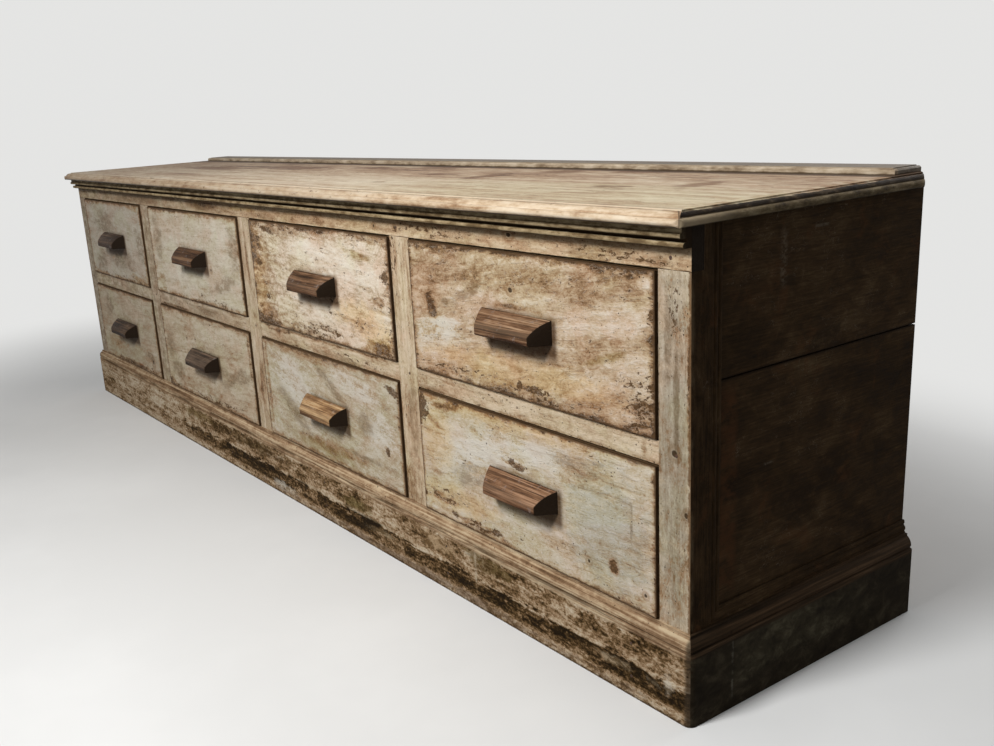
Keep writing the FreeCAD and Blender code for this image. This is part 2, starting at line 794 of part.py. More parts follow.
front_plank, back_plank = build_top_planks()
save("top_front_plank", front_plank)
save("top_back_plank", back_plank)
save("top_nosing_front", build_nosing_front())
save("top_nosing_right", build_nosing_right())
save("top_nosing_left", mirrored(build_nosing_right()))
save("back_ledge", build_back_ledge())
save("cornice_moulding", build_cornice())
save("plinth_front", build_plinth_front())
save("plinth_right", build_plinth_right())
save("plinth_left", mirrored(build_plinth_right()))

for row, row_name in enumerate(("lower", "upper")):
    for column in range(column_count):
        save_drawer(f"{row_name}_drawer_{column + 1}", Drawer(column, row))
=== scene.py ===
import math
from functools import cached_property
import bpy
from mathutils import Matrix, Vector


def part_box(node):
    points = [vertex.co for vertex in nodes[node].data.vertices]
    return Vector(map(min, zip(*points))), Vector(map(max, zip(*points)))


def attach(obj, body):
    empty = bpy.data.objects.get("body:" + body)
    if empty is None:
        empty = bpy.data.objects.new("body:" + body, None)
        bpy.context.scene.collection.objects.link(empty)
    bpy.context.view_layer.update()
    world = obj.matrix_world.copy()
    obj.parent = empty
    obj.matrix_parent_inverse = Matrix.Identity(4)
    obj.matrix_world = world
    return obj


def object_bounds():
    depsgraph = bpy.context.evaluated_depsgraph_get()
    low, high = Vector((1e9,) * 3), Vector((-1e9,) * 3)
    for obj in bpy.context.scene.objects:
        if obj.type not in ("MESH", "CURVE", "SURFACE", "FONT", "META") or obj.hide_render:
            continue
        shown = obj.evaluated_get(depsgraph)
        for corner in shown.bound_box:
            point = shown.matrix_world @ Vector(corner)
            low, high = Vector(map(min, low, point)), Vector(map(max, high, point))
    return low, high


# Shop drawer cabinet in worn cream paint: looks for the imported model, in metres in the row frame.
# X runs along the cabinet, -Y towards the drawer fronts and +Z up.

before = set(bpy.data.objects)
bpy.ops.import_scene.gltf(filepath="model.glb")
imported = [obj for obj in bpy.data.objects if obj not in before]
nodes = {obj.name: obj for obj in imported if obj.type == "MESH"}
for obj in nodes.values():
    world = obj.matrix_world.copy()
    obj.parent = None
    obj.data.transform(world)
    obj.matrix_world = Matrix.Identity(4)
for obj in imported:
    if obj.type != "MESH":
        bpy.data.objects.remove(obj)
cad_low, cad_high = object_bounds()

millimetre = 0.001
boundless = 1e3

# Paint and wood colours, as linear red, green and blue
raw_brown = (0.085, 0.046, 0.021)
mid_brown = (0.23, 0.135, 0.068)
rubbed_tan = (0.36, 0.235, 0.135)
pine_light = (0.42, 0.26, 0.13)
pine_dark = (0.20, 0.11, 0.05)
worn_brown = (0.15, 0.082, 0.038)
# The two darkest colours serve for real dirt and specks, and also as painted shade under parts and in
# recesses
grime_and_shade = (0.045, 0.025, 0.011)
soot_and_shade = (0.014, 0.008, 0.004)
paint_gloss = 0.06
dark_gloss = 0.03

# Faces of the cabinet that finishes and fittings line up with
front_low, front_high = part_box("top_rail")
face_y = front_low.y
side_x = front_high.x
rail_bottom_z = front_low.z
case_top_z = front_high.z
ground_z = cad_low.z
# Where the top rail starts to darken upwards, with grime and painted shade of the cornice above
grime_and_shade_z = 0.655
end_joint_z = 0.488
nosing_step_z = case_top_z + 0.0178
nosing_mitre_x = 1.2675
ledge_bead_y = 0.214
ledge_foot_z = 0.7225
plinth_face_top_z = 0.104
plinth_groove_z = 0.1128
plinth_corner_x = 1.290
plinth_scratch_y = -0.165
back_nail_levels = (0.125, 0.40, 0.695)
row_names = ("lower", "upper")
drawers = [f"{row}_drawer_{column}" for row in row_names for column in range(1, 5)]


class Value:
    """An output of one of a finish's nodes. Sums and products with it add maths nodes."""

    def __init__(self, finish, socket):
        self.finish = finish
        self.socket = socket

    def __add__(self, other):
        return self.finish.calc("ADD", self, other)

    def __sub__(self, other):
        return self.finish.calc("SUBTRACT", self, other)

    def __rsub__(self, other):
        return self.finish.calc("SUBTRACT", other, self)

    def __mul__(self, other):
        return self.finish.calc("MULTIPLY", self, other)

    def __truediv__(self, other):
        return self.finish.calc("DIVIDE", self, other)

    def __pow__(self, other):
        return self.finish.calc("POWER", self, other)

    def __abs__(self):
        return self.finish.calc("ABSOLUTE", self)

    __radd__ = __add__
    __rmul__ = __mul__


class Finish:
    """One procedural material on Object coordinates. Its methods add nodes and return values.

    colour is the finish as laid so far, from the first coat to the last speck."""

    def __init__(self, name, seed=0.0):
        self.material = bpy.data.materials.new(name)
        self.material.use_nodes = True
        self.nodes = self.material.node_tree.nodes
        self.links = self.material.node_tree.links
        self.shader = self.nodes["Principled BSDF"]
        self.seed = seed
        self.colour = None
        self.place = self.nodes.new("ShaderNodeTexCoord").outputs["Object"]
        self.normal = self.nodes.new("ShaderNodeNewGeometry").outputs["Normal"]
        self.x, self.y, self.z = (self.part(self.place, axis) for axis in "XYZ")

    def feed(self, socket, value):
        """Link a value or an output to a socket, or set a constant on it."""
        source = getattr(value, "socket", value)
        if isinstance(source, bpy.types.NodeSocket):
            self.links.new(source, socket)
        elif isinstance(value, tuple) and socket.type == "RGBA":
            socket.default_value = (*value, 1)
        else:
            socket.default_value = value

    def node(self, kind, inputs, **settings):
        """The outputs of a new node with these settings, its inputs fed by name or number."""
        node = self.nodes.new("ShaderNode" + kind)
        for setting, value in settings.items():
            setattr(node, setting, value)
        for socket, value in inputs.items():
            self.feed(node.inputs[socket], value)
        return node.outputs

    def calc(self, operation, *values):
        """One maths node."""
        return Value(self, self.node("Math", dict(enumerate(values)), operation=operation)[0])

    def most(self, first, *others):
        """The largest of several values."""
        for other in others:
            first = self.calc("MAXIMUM", first, other)
        return first

    def least(self, first, second):
        """The smaller of two values."""
        return self.calc("MINIMUM", first, second)

    def swing(self, noise, amount):
        """A noise turned into a shift either way of zero."""
        return (noise - 0.5) * amount

    def fade(self, value, start, end):
        """A soft mask: 0 where value is at start, 1 where it is at end."""
        low, high = (0, 1) if start < end else (1, 0)
        inputs = {"Value": value, "From Min": min(start, end), "From Max": max(start, end), "To Min": low,
                  "To Max": high}
        return Value(self, self.node("MapRange", inputs, interpolation_type="SMOOTHSTEP")["Result"])

    def band(self, value, low, high, soft):
        """A mask that is 1 between two values and fades out over a soft width beyond them."""
        return self.fade(value, low - soft, low) * self.fade(value, high + soft, high)

    def ramp(self, value, *stops):
        """A colour that runs through the stops, each a place and a colour."""
        node = self.nodes.new("ShaderNodeValToRGB")
        self.feed(node.inputs[0], value)
        elements = node.color_ramp.elements
        while len(elements) < len(stops):
            elements.new(0.5)
        for element, (place, colour) in zip(elements, stops):
            element.position = place
            element.color = (*colour, 1)
        return Value(self, node.outputs[0])

    def part(self, vector, axis):
        """One coordinate of a vector."""
        return Value(self, self.node("SeparateXYZ", {0: vector})["XYZ".index(axis)])

    def facing(self, axis, sign=1):
        """1 on faces that look along the axis in that sense, 0 on the others."""
        return self.fade(self.part(self.normal, axis) * float(sign), 0.55, 0.8)

    def ends(self):
        """1 on faces that look along X, either way."""
        return self.most(self.facing("X", 1), self.facing("X", -1))

    def scaled(self, scale, lean=0.0):
        """Object coordinates times a scale for each axis, moved by a step of the finish's own.

        lean tips the pattern up towards +X on the front, in degrees."""
        self.seed += 1.37
        scale = scale if isinstance(scale, tuple) else (scale,) * 3
        inputs = {"Vector": self.place, "Location": (self.seed * 3.1, self.seed * 1.7, self.seed * 2.3),
                  "Rotation": (0, -math.radians(lean), 0), "Scale": tuple(1 / value for value in scale)}
        return self.node("Mapping", inputs, vector_type="TEXTURE")[0]

    def noise(self, scale, detail=3, rough=0.5, warp=0.0, lean=0.0):
        """Noise with that many waves in a metre, along each axis or all alike."""
        inputs = {"Vector": self.scaled(scale, lean), "Scale": 1, "Detail": detail, "Roughness": rough,
                  "Distortion": warp}
        return Value(self, self.node("TexNoise", inputs)[0])

    def dots(self, scale, radius, share):
        """Round specks: a share of the cells of that scale holds one, of up to that radius in cells."""
        cells = self.node("TexVoronoi", {"Vector": self.scaled(scale), "Scale": 1})
        lot = self.part(cells["Color"], "X")
        size = self.fade(lot, 1 - share, 1) * radius
        return self.fade(cells["Distance"] - size, 0.0, -0.06)

    def contour(self, scale, width, detail=2, rough=0.5, warp=0.0, lean=0.0):
        """Thin wandering lines, where a noise crosses its middle value."""
        value = self.noise(scale, detail, rough, warp, lean)
        return self.fade(abs(value - 0.5), width, 0.0)

    def blend(self, mode, mask, under, over):
        """One colour mixed with another where the mask is 1."""
        node = self.nodes.new("ShaderNodeMix")
        node.data_type = "RGBA"
        node.blend_type = mode
        colours = [socket for socket in node.inputs if socket.type == "RGBA"]
        for socket, value in zip((node.inputs["Factor"], *colours), (mask, under, over)):
            self.feed(socket, value)
        return Value(self, next(socket for socket in node.outputs if socket.type == "RGBA"))

    def tint(self, mask, under, over):
        """One colour laid over another where the mask is 1."""
        return self.blend("MIX", mask, under, over)

    def shade(self, mask, colour, stain):
        """A colour multiplied by a stain where the mask is 1."""
        return self.blend("MULTIPLY", mask, colour, stain)

    def lay(self, colour, mask):
        """Lay a colour over the finish where the mask is 1."""
        self.colour = self.tint(mask, self.colour, colour)

    def wash(self, stain, mask):
        """Multiply the finish by a stain where the mask is 1."""
        self.colour = self.shade(mask, self.colour, stain)

    def away(self, centre, radii, lean=0.0, flat=False):
        """Distance from a place on the front, or on the flat top, in radii."""
        (x, other), (length, rise) = centre, radii
        inputs = {"Vector": self.place, "Location": (x, other, 0) if flat else (x, 0, other),
                  "Rotation": (0, -math.radians(lean), 0),
                  "Scale": (length, rise, boundless) if flat else (length, boundless, rise)}
        offset = self.node("Mapping", inputs, vector_type="TEXTURE")[0]
        return Value(self, self.node("VectorMath", {0: offset}, operation="LENGTH")["Value"])

    @cached_property
    def ragged(self):
        """The noise that all the finish's patches share for their edges."""
        return self.noise((30, 30, 55), 6, 0.66)

    @cached_property
    def crumbled(self):
        """The finer noise that breaks up the edges of bare places."""
        return self.noise((140, 140, 220), 4, 0.72)

    def patch(self, centre, radii, lean=0.0, rough=2.6):
        """A soft-edged ellipse on the front, with its edge broken up by noise."""
        return self.fade(self.away(centre, radii, lean) + self.swing(self.ragged, rough), 1.35, 0.45)

    def marks(self, marks, middle=(0, 0)):
        """The masks of a set of marks by kind, with the marks' places counted from the middle."""
        masks = dict.fromkeys(mark_kinds, 0.0)
        for kind, rows in marks.items():
            for row in rows:
                (x, z), radii, lean = sized(*row)
                centre = (middle[0] + x, middle[1] + z)
                if kind == "bare":
                    away = self.away(centre, radii, lean) + self.swing(self.ragged, 3.0)
                    mask = self.fade(away + self.swing(self.crumbled, 2.4), 1.04, 0.90)
                elif kind == "knot":
                    away = self.away(centre, radii, lean) + self.swing(self.ragged, 1.6)
                    masks["halo"] = self.most(self.band(away, 1.6, 2.4, 0.8) * 0.8, masks["halo"])
                    mask = self.fade(away, 1.1, 0.7)
                else:
                    mask = self.patch(centre, radii, lean)
                masks[kind] = self.most(mask, masks[kind])
        return masks

    def inset(self, low, high):
        """Distance in from the nearest edge of a front that fills this box, in metres."""
        edge = self.least(self.x - low.x, high.x - self.x)
        rise = self.least(self.z - low.z, high.z - self.z)
        return self.least(edge, rise)

    def done(self, roughness, height=None, depth=1.0, specular=0.3):
        """Set the shader: the colour as laid, a roughness and a height in millimetres."""
        self.feed(self.shader.inputs["Base Color"], self.colour)
        self.feed(self.shader.inputs["Roughness"], roughness)
        self.shader.inputs["Specular IOR Level"].default_value = specular
        if height is not None:
            bump = self.node("Bump", {"Strength": depth, "Distance": millimetre, "Height": height})
            self.feed(self.shader.inputs["Normal"], bump[0])
        return self.material


# Kinds of marks: rubbed thin, worn through, kept pale, milky, spotted, chipped, bare, stained warm, grey,
# dark, olive or rusty, and knots with the halo round them
mark_kinds = ("rub", "worn", "pale", "milk", "spots", "chips", "bare", "warm", "grey", "smudge", "olive",
              "rust", "knot", "halo")


def sized(x, z, length, rise, lean=0):
    """Place, radii and lean of a mark from its row, which is in millimetres and degrees."""
    return (x * millimetre, z * millimetre), (length * millimetre, rise * millimetre), lean


def span(node, axis):
    """A node's lowest and highest place along an axis, 0 to 2."""
    low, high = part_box(node)
    return low[axis], high[axis]


def across(along, fine, coarse):
    """A scale for each axis: coarse along the grain and fine across it."""
    return tuple(coarse if axis == along else fine for axis in "XYZ")


def pine(f, along, light=pine_light, dark=pine_dark):
    """Colour and height of bare old pine with its grain along one axis."""
    figure = f.noise(across(along, 34, 2.2), 3, 0.55, 0.6)
    fibres = f.noise(across(along, 620, 14), 2, 0.6)
    knots = f.dots(across(along, 9, 5), 0.16, 0.12)
    tone = figure * 0.7 + fibres * 0.3
    colour = f.tint(f.fade(tone, 0.36, 0.62), dark, light)
    colour = f.tint(knots, colour, tuple(value * 0.45 for value in dark))
    return colour, (figure + fibres) * 0.35


def worn_paint(f, along, tones, masks, cover=0.0, chipping=0.0, lean=0.0, depth=1.0):
    """Lay thin old paint over wood, and return its roughness and height.

    tones are the paint's colours from thin to thick, cover shifts how much of it is left, chipping
    shifts how much has flaked off, lean tips the brush marks and the grain under them, and depth is
    how strongly they show."""
    flow = f.noise(across(along, 50, 7.5), 8, 0.6, 1.0, lean)
    mottle = f.noise(across(along, 84, 40), 8, 0.7, 0.5, lean)
    grit = f.noise(across(along, 420, 240), 4, 0.72)
    cloud = f.noise(across(along, 15, 9), 4, 0.6, 0.4, lean)
    coat = (0.60 + cover + f.swing(flow, 0.95 * depth) + f.swing(mottle, 1.25 * depth)
            + f.swing(grit, 0.85) + f.swing(cloud, 0.55 * depth))
    figure = f.noise(across(along, 9, 4), 2, 0.5, 0.9, lean) * 24.0
    rings = f.fade(f.calc("PINGPONG", figure, 0.5), 0.22, 0.46) * f.fade(cloud, 0.60, 0.44)
    coat -= rings * (0.07 * depth)
    coat -= masks["rub"] * 0.19 + masks["worn"] * 0.34
    coat += masks["pale"] * 0.15 + masks["milk"] * 0.06
    f.colour = f.ramp(coat, (0.0, raw_brown), (0.16, mid_brown), (0.33, rubbed_tan), (0.47, tones[0]),
                      (0.64, tones[1]), (0.92, tones[2]))
    hue = f.noise(across(along, 13, 8), 4, 0.55, 0.6)
    f.wash((0.97, 0.89, 0.86), f.fade(hue, 0.5, 0.62) * 0.8)
    f.wash((0.95, 0.97, 0.89), f.fade(hue, 0.5, 0.38) * 0.7)
    milky = masks["milk"] * f.fade(coat + f.swing(cloud, 0.8) + f.swing(mottle, 0.7), 0.44, 0.74)
    f.lay((0.63, 0.59, 0.52), milky * 0.6)
    f.wash((1.0, 0.89, 0.69), masks["warm"] * 0.8)
    f.wash((0.72, 0.76, 0.80), masks["grey"] * 0.75)
    f.wash((0.50, 0.43, 0.35), masks["smudge"] * f.fade(mottle, 0.36, 0.56) * 0.9)
    f.wash((0.62, 0.55, 0.32), masks["olive"] * 0.65)
    f.wash((0.72, 0.36, 0.14), masks["rust"] * 0.8)
    f.wash((0.55, 0.38, 0.24), masks["halo"] * 0.55)

    lines = f.noise(across(along, 520, 16), 4, 0.62, 0.0, lean)
    lines = f.fade(lines, 0.53, 0.72) * f.fade(flow, 0.62, 0.42)
    f.wash((0.50, 0.36, 0.25), lines * 0.55)
    flake = f.noise(across(along, 150, 74), 9, 0.7, 0.4, lean) - f.swing(flow, 0.35) + chipping
    flake += masks["chips"] * 0.085 + masks["worn"] * 0.05
    bare = f.most(f.fade(flake, 0.635, 0.67), masks["bare"])
    chip = f.ramp(grit, (0.34, grime_and_shade), (0.47, raw_brown), (0.60, worn_brown), (0.74, rubbed_tan))
    f.lay(chip, bare * 0.92)
    lip = f.band(flake, 0.605, 0.625, 0.012) * 0.3
    f.lay(tones[2], lip)
    spots = masks["spots"] * f.most(f.dots(55, 0.24, 0.5), f.dots(110, 0.26, 0.5))
    f.lay(worn_brown, spots * f.fade(grit, 0.36, 0.5) * 0.75)
    specks = f.most(f.dots(62, 0.13, 0.2), f.dots(150, 0.2, 0.3), f.dots(320, 0.26, 0.3), masks["knot"])
    f.lay(grime_and_shade, specks * 0.93)
    height = coat * 1.1 + grit * 0.5 + mottle * 0.9 - bare * 0.5
    height -= specks * 0.6 + lines * 0.3
    roughness = 0.48 + mottle * 0.25 + bare * 0.12
    return roughness, height


def front_finish(name, seed, tones, marks, cover, chipping, rim, lean, depth):
    """Worn cream paint on one drawer front, rubbed brown and chipped towards its edges."""
    f = Finish(name + "_paint", seed)
    low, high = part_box(name + "_front")
    masks = f.marks(marks, ((low.x + high.x) / 2, (low.z + high.z) / 2))
    inset = f.inset(low, high)
    ragged = inset + f.swing(f.ragged, rim * 1.6)
    edge = f.fade(ragged, rim, 0.0)
    border = f.fade(inset + f.swing(f.ragged, 0.026), 0.013, 0.002)
    cover = cover - edge * 0.16 + border * (-0.26 * min(1, rim / 0.02))
    chipping = chipping + edge * 0.045 + border * 0.04
    roughness, height = worn_paint(f, "X", tones, masks, cover, chipping, lean, depth)
    scratches = f.contour((14, 14, 46), 0.0035, 4, 0.6, 0.6, lean) * f.fade(f.noise(7, 2), 0.5, 0.58)
    f.lay(worn_brown, scratches * 0.5)
    dirt = f.fade(inset + f.swing(f.ragged, 0.012), 0.0050, 0.0012)
    f.lay(raw_brown, dirt * 0.9)
    grip_low, grip_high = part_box(name + "_pull")
    # beside and below mark the painted shadow that the pull casts on the front below it
    beside = f.band(f.x, grip_low.x + 0.022, grip_high.x + 0.003, 0.012)
    below = beside * f.band(f.z, grip_low.z - 0.014, grip_low.z + 0.03, 0.018)
    around = (f.band(f.x, grip_low.x - 0.004, grip_high.x + 0.006, 0.03)
              * f.band(f.z, grip_low.z - 0.02, grip_high.z + 0.004, 0.02))
    f.wash((0.62, 0.50, 0.40), around * f.fade(f.ragged, 0.40, 0.6) * 0.4)
    # Painted shadow of the pull
    f.wash((0.14, 0.09, 0.055), below * 0.9)
    wood, _ = pine(f, "X")
    # Painted shade in the gaps: the front's side faces are near-black next to the face, bare wood further
    # in
    sides = 1 - f.facing("Y", -1)
    f.lay(f.tint(f.fade(f.y, face_y - 0.004, face_y + 0.012), (0.035, 0.019, 0.008), wood), sides)
    return f.done(roughness, height, 0.85, paint_gloss)


def frame_layers(f, along, tones, marks, cover=0.0, chipping=0.0):
    """Lay the face frame's worn cream paint, with bare wood darkened as painted shade on the faces that
    don't show.
    """
    masks = f.marks(marks)
    roughness, height = worn_paint(f, along, tones, masks, cover, chipping)
    streaks = f.noise(across(along, 150, 4), 5, 0.62, 0.2)
    f.wash((0.66, 0.60, 0.52), f.fade(streaks, 0.46, 0.66) * 0.38)
    left = f.fade(f.x, 0.3, -0.7)
    f.wash((0.62, 0.58, 0.53), left * f.fade(f.ragged, 0.42, 0.56) * 0.8)
    f.wash((0.86, 0.90, 0.97), left * 0.8)
    wood, _ = pine(f, along)
    # Painted shade: faces that don't look to the front are dark bare wood
    shaded_faces = 1 - f.facing("Y", -1)
    f.lay(f.shade(0.92, wood, (0.13, 0.10, 0.075)), shaded_faces)
    return roughness, height


def frame_finish(name, along, seed, tones, marks, edges):
    """Paint on the muntins or the mid rails, worn brown and chipped along their edges."""
    f = Finish(name, seed)
    across_place = f.z if along == "X" else f.x
    gap = 1.0
    for low, high in edges:
        inner = f.least(across_place - low, high - across_place)
        gap = f.least(gap, abs(inner))
    edge = f.fade(gap + f.swing(f.ragged, 0.014), 0.007, 0.0)
    roughness, height = frame_layers(f, along, tones, marks, edge * -0.16, edge * 0.06)
    return f.done(roughness, height, 0.85, paint_gloss)


def top_rail_finish(name, seed, tones, marks):
    """Paint on the top rail: darker under the moulding with grime and painted shade, black on its ends.
    """
    f = Finish(name, seed)
    roughness, height = frame_layers(f, "X", tones, marks, -0.04, 0.01)
    # Grime and painted shade of the cornice: the rail darkens upwards to the moulding
    level = f.z + f.swing(f.ragged, 0.02)
    f.wash((0.42, 0.34, 0.27), f.fade(level, grime_and_shade_z, grime_and_shade_z + 0.019) * 0.85)
    crack = f.fade(abs(f.z - rail_bottom_z + f.swing(f.noise(60, 4), 0.003)), 0.0014, 0.0004)
    f.lay(grime_and_shade, crack * 0.8)
    f.lay((0.013, 0.008, 0.0045), f.ends())
    return f.done(roughness, height, 0.85, dark_gloss)


def end_layers(f, along):
    """Lay the dark brown of the ends, and return its roughness and height."""
    broad = f.noise(across(along, 11, 5), 5, 0.62, 0.8)
    grain = f.noise(across(along, 480, 24), 4, 0.62)
    wear = f.noise(across(along, 34, 20), 7, 0.7, 0.6)
    tone = 0.5 + f.swing(broad, 1.1) + f.swing(wear, 0.9) + f.swing(grain, 0.7)
    f.colour = f.ramp(tone, (0.15, (0.009, 0.005, 0.0025)), (0.42, (0.026, 0.015, 0.007)),
                      (0.60, (0.047, 0.027, 0.0125)), (0.80, (0.082, 0.052, 0.026)),
                      (1.0, (0.15, 0.11, 0.065)))
    red = f.fade(f.noise(9, 6, 0.66, 1.0), 0.54, 0.64) * f.fade(wear, 0.40, 0.6)
    f.lay((0.075, 0.032, 0.013), red * 0.45)
    scrape = f.contour((9, 24, 34), 0.004, 3, 0.6) * f.fade(broad, 0.52, 0.6)
    f.lay((0.20, 0.16, 0.115), scrape * 0.5)
    f.lay(soot_and_shade, f.most(f.dots(70, 0.16, 0.2), f.dots(190, 0.2, 0.2)) * 0.8)
    height = grain * 0.4 + wear * 0.9 + broad * 0.6 - scrape * 0.2
    return 0.55 + wear * 0.3, height


# Marks on the ends: place along Y and Z, half width and half height, in millimetres
end_strip = (-158, 325, 10, 125)
end_stains = ((50, 505, 30, 12), (0, 260, 30, 20), (80, 300, 30, 20))
end_scratch = (-49.5, 635, 1.5, 25)
end_strokes = ((30, 669, 12, 1), (-70, 346, 8, 1))


def bar(f, place, row, soft_width, soft_rise):
    """A mask of one mark on the ends, with edges of these widths. place runs along Y."""
    (y, z), (width, rise), _ = sized(*row)
    return f.band(place, y - width, y + width, soft_width) * f.band(f.z, z - rise, z + rise, soft_rise)


def side_marks(f):
    """Lay the end boards' marks: a worn strip by the post, dark stains and light scratches."""
    strip = bar(f, f.y, end_strip, 14 * millimetre, 40 * millimetre)
    f.lay((0.085, 0.036, 0.015), strip * f.fade(f.ragged, 0.36, 0.6) * 0.55)
    for row in end_stains:
        stain = bar(f, f.y, row, row[2] * millimetre, row[3] * millimetre)
        f.lay(soot_and_shade, stain * f.fade(f.ragged, 0.38, 0.56) * 0.7)
    scratch = bar(f, f.y + f.swing(f.ragged, 0.02), end_scratch, 9 * millimetre, 25 * millimetre)
    f.lay((0.15, 0.115, 0.08), scratch * f.fade(f.crumbled, 0.40, 0.6) * 0.6)
    for row in end_strokes:
        stroke = bar(f, f.y, row, 6 * millimetre, 2 * millimetre)
        f.lay((0.20, 0.17, 0.13), stroke * f.fade(f.ragged, 0.40, 0.6) * 0.6)


def end_finish():
    """Dark brown finish on the end boards and end rails, black in their open joint."""
    f = Finish("brown_end_finish", 41)
    roughness, height = end_layers(f, "Y")
    side_marks(f)
    joint = f.fade(abs(f.z - end_joint_z), 0.0045, 0.0015)
    f.lay(soot_and_shade, joint * 0.9)
    inner = f.fade(abs(f.part(f.normal, "X")), 0.75, 0.55)
    f.lay(soot_and_shade, inner * 0.7)
    return f.done(roughness, height, 0.9, dark_gloss)


def post_finish(name, seed, tones, marks):
    """Cream on the front of a corner post and the brown end finish round the corner."""
    f = Finish(name, seed)
    roughness, height = frame_layers(f, "Z", tones, marks, -0.03, 0.0)
    paint = f.colour
    _, brown_height = end_layers(f, "Z")
    reach = side_x - abs(f.x)
    arris = (f.fade(f.y + f.swing(f.ragged, 0.008), face_y + 0.009, face_y + 0.002)
             * f.fade(f.noise((40, 40, 14), 5, 0.7), 0.44, 0.6))
    f.lay((0.15, 0.105, 0.06), arris * 0.6)
    round_corner = (1 - f.facing("Y", -1)) * f.fade(reach, 0.016, 0.012)
    f.colour = f.tint(round_corner, paint, f.colour)
    rubbed = f.fade(reach + f.swing(f.ragged, 0.016), 0.0052, 0.0025)
    f.lay(worn_brown, rubbed * f.facing("Y", -1) * 0.85)
    height = height + brown_height * round_corner
    return f.done(roughness + round_corner * 0.15, height, 0.85, dark_gloss)


# Darker stains on the top: place, half length and half width, in millimetres
top_stains = ((180, 161, 80, 30), (350, 31, 60, 20), (530, 31, 30, 50),
              (620, 141, 50, 30), (950, 101, 120, 8), (1080, 10, 25, 45),
              (960, -55, 40, 14), (380, -130, 30, 10), (-400, 80, 200, 40),
              (800, 170, 80, 20), (-50, 120, 80, 30), (-750, 20, 200, 40))


def top_layers(f):
    """Lay the scrubbed top, grey-cream in front and pinkish brown behind. Gives roughness and height."""
    fibres = f.noise((10, 560, 560), 3, 0.6)
    streaks = f.noise((2.6, 58, 58), 6, 0.64, 0.3)
    broad = f.noise((2.4, 10, 10), 5, 0.62, 0.6)
    mottle = f.noise((26, 60, 60), 7, 0.7)
    behind = f.fade(f.y + f.swing(broad, 0.35), -0.11, 0.05)
    wear = 0.60 - behind * 0.26 + f.swing(broad, 1.2) + f.swing(streaks, 1.5) + f.swing(mottle, 1.2)
    f.colour = f.ramp(wear, (0.0, (0.15, 0.08, 0.04)), (0.22, (0.33, 0.21, 0.125)),
                      (0.42, (0.43, 0.31, 0.205)), (0.62, (0.54, 0.435, 0.31)), (0.9, (0.63, 0.54, 0.41)))
    left = f.fade(f.x + f.swing(broad, 0.8), -0.1, -0.9)
    f.wash((0.66, 0.63, 0.60), left * 0.75)
    green = (1 - behind) * f.fade(f.x, 0.2, 0.8)
    f.wash((0.93, 0.97, 0.88), green * 0.7)
    f.wash((0.6, 0.48, 0.38), f.fade(fibres, 0.52, 0.75) * 0.5)
    front = f.fade(f.y + f.swing(mottle, 0.01), face_y + 0.004, face_y - 0.006)
    f.wash((0.80, 0.78, 0.76), front * 0.6)
    # Painted shadow line along the foot of the back ledge
    foot = f.fade(f.y + f.swing(streaks, 0.06) + f.swing(mottle, 0.03), 0.168, 0.186)
    f.lay((0.05, 0.027, 0.013), foot * 0.95)
    scratches = f.contour((3.0, 24, 24), 0.007, 3, 0.55, 0.5)
    kept = f.fade(f.noise((4, 12, 12), 3, 0.5), 0.46, 0.54)
    dents = f.contour((8, 40, 40), 0.006, 4, 0.6, 0.8) * f.fade(broad, 0.55, 0.48)
    scratches = f.most(scratches * kept, dents * 0.7)
    f.lay((0.13, 0.07, 0.036), scratches * 0.7)
    for row in top_stains:
        away = f.away(*sized(*row), flat=True)
        stain = f.fade(away + f.swing(f.ragged, 2.4) + f.swing(streaks, 2.4), 1.5, 0.5)
        f.wash((0.36, 0.235, 0.15), stain * 0.8)
    f.lay(grime_and_shade, f.most(f.dots(40, 0.12, 0.15), f.dots(120, 0.16, 0.2)) * 0.8)
    height = streaks * 0.9 + fibres * 0.3 - scratches * 0.5 + mottle * 0.3
    return 0.42 + streaks * 0.3, height


def top_finish():
    """Scrubbed planks of the top, bare and dark underneath."""
    f = Finish("scrubbed_top", 61)
    roughness, height = top_layers(f)
    wood, _ = pine(f, "X")
    f.lay(f.shade(0.8, wood, (0.4, 0.32, 0.25)), f.facing("Z", -1))
    return f.done(roughness, height, 0.9, 0.12)


def ledge_finish():
    """Ledge at the back: dull grey on top, worn cream on its bead, a painted shadow line at its foot."""
    f = Finish("ledge_paint", 67)
    streaks = f.noise((3, 90, 90), 6, 0.64)
    mottle = f.noise((20, 60, 60), 7, 0.68)
    grey = f.ramp(streaks * 0.5 + mottle * 0.5, (0.35, (0.09, 0.07, 0.052)), (0.5, (0.16, 0.13, 0.10)),
                  (0.65, (0.26, 0.21, 0.16)))
    cream = f.ramp(mottle, (0.35, (0.20, 0.14, 0.085)), (0.5, (0.38, 0.295, 0.20)),
                   (0.62, (0.52, 0.43, 0.315)))
    f.colour = f.tint(f.fade(f.y + f.swing(mottle, 0.006), ledge_bead_y, ledge_bead_y + 0.003), cream,
                      grey)
    # Painted shadow line at the ledge's foot
    foot = f.fade(f.z + f.swing(mottle, 0.004), ledge_foot_z, ledge_foot_z - 0.0017)
    f.lay(grime_and_shade, foot * 0.85)
    height = streaks * 0.6 + mottle * 0.6
    return f.done(0.45 + mottle * 0.3, height, 0.9, 0.15)


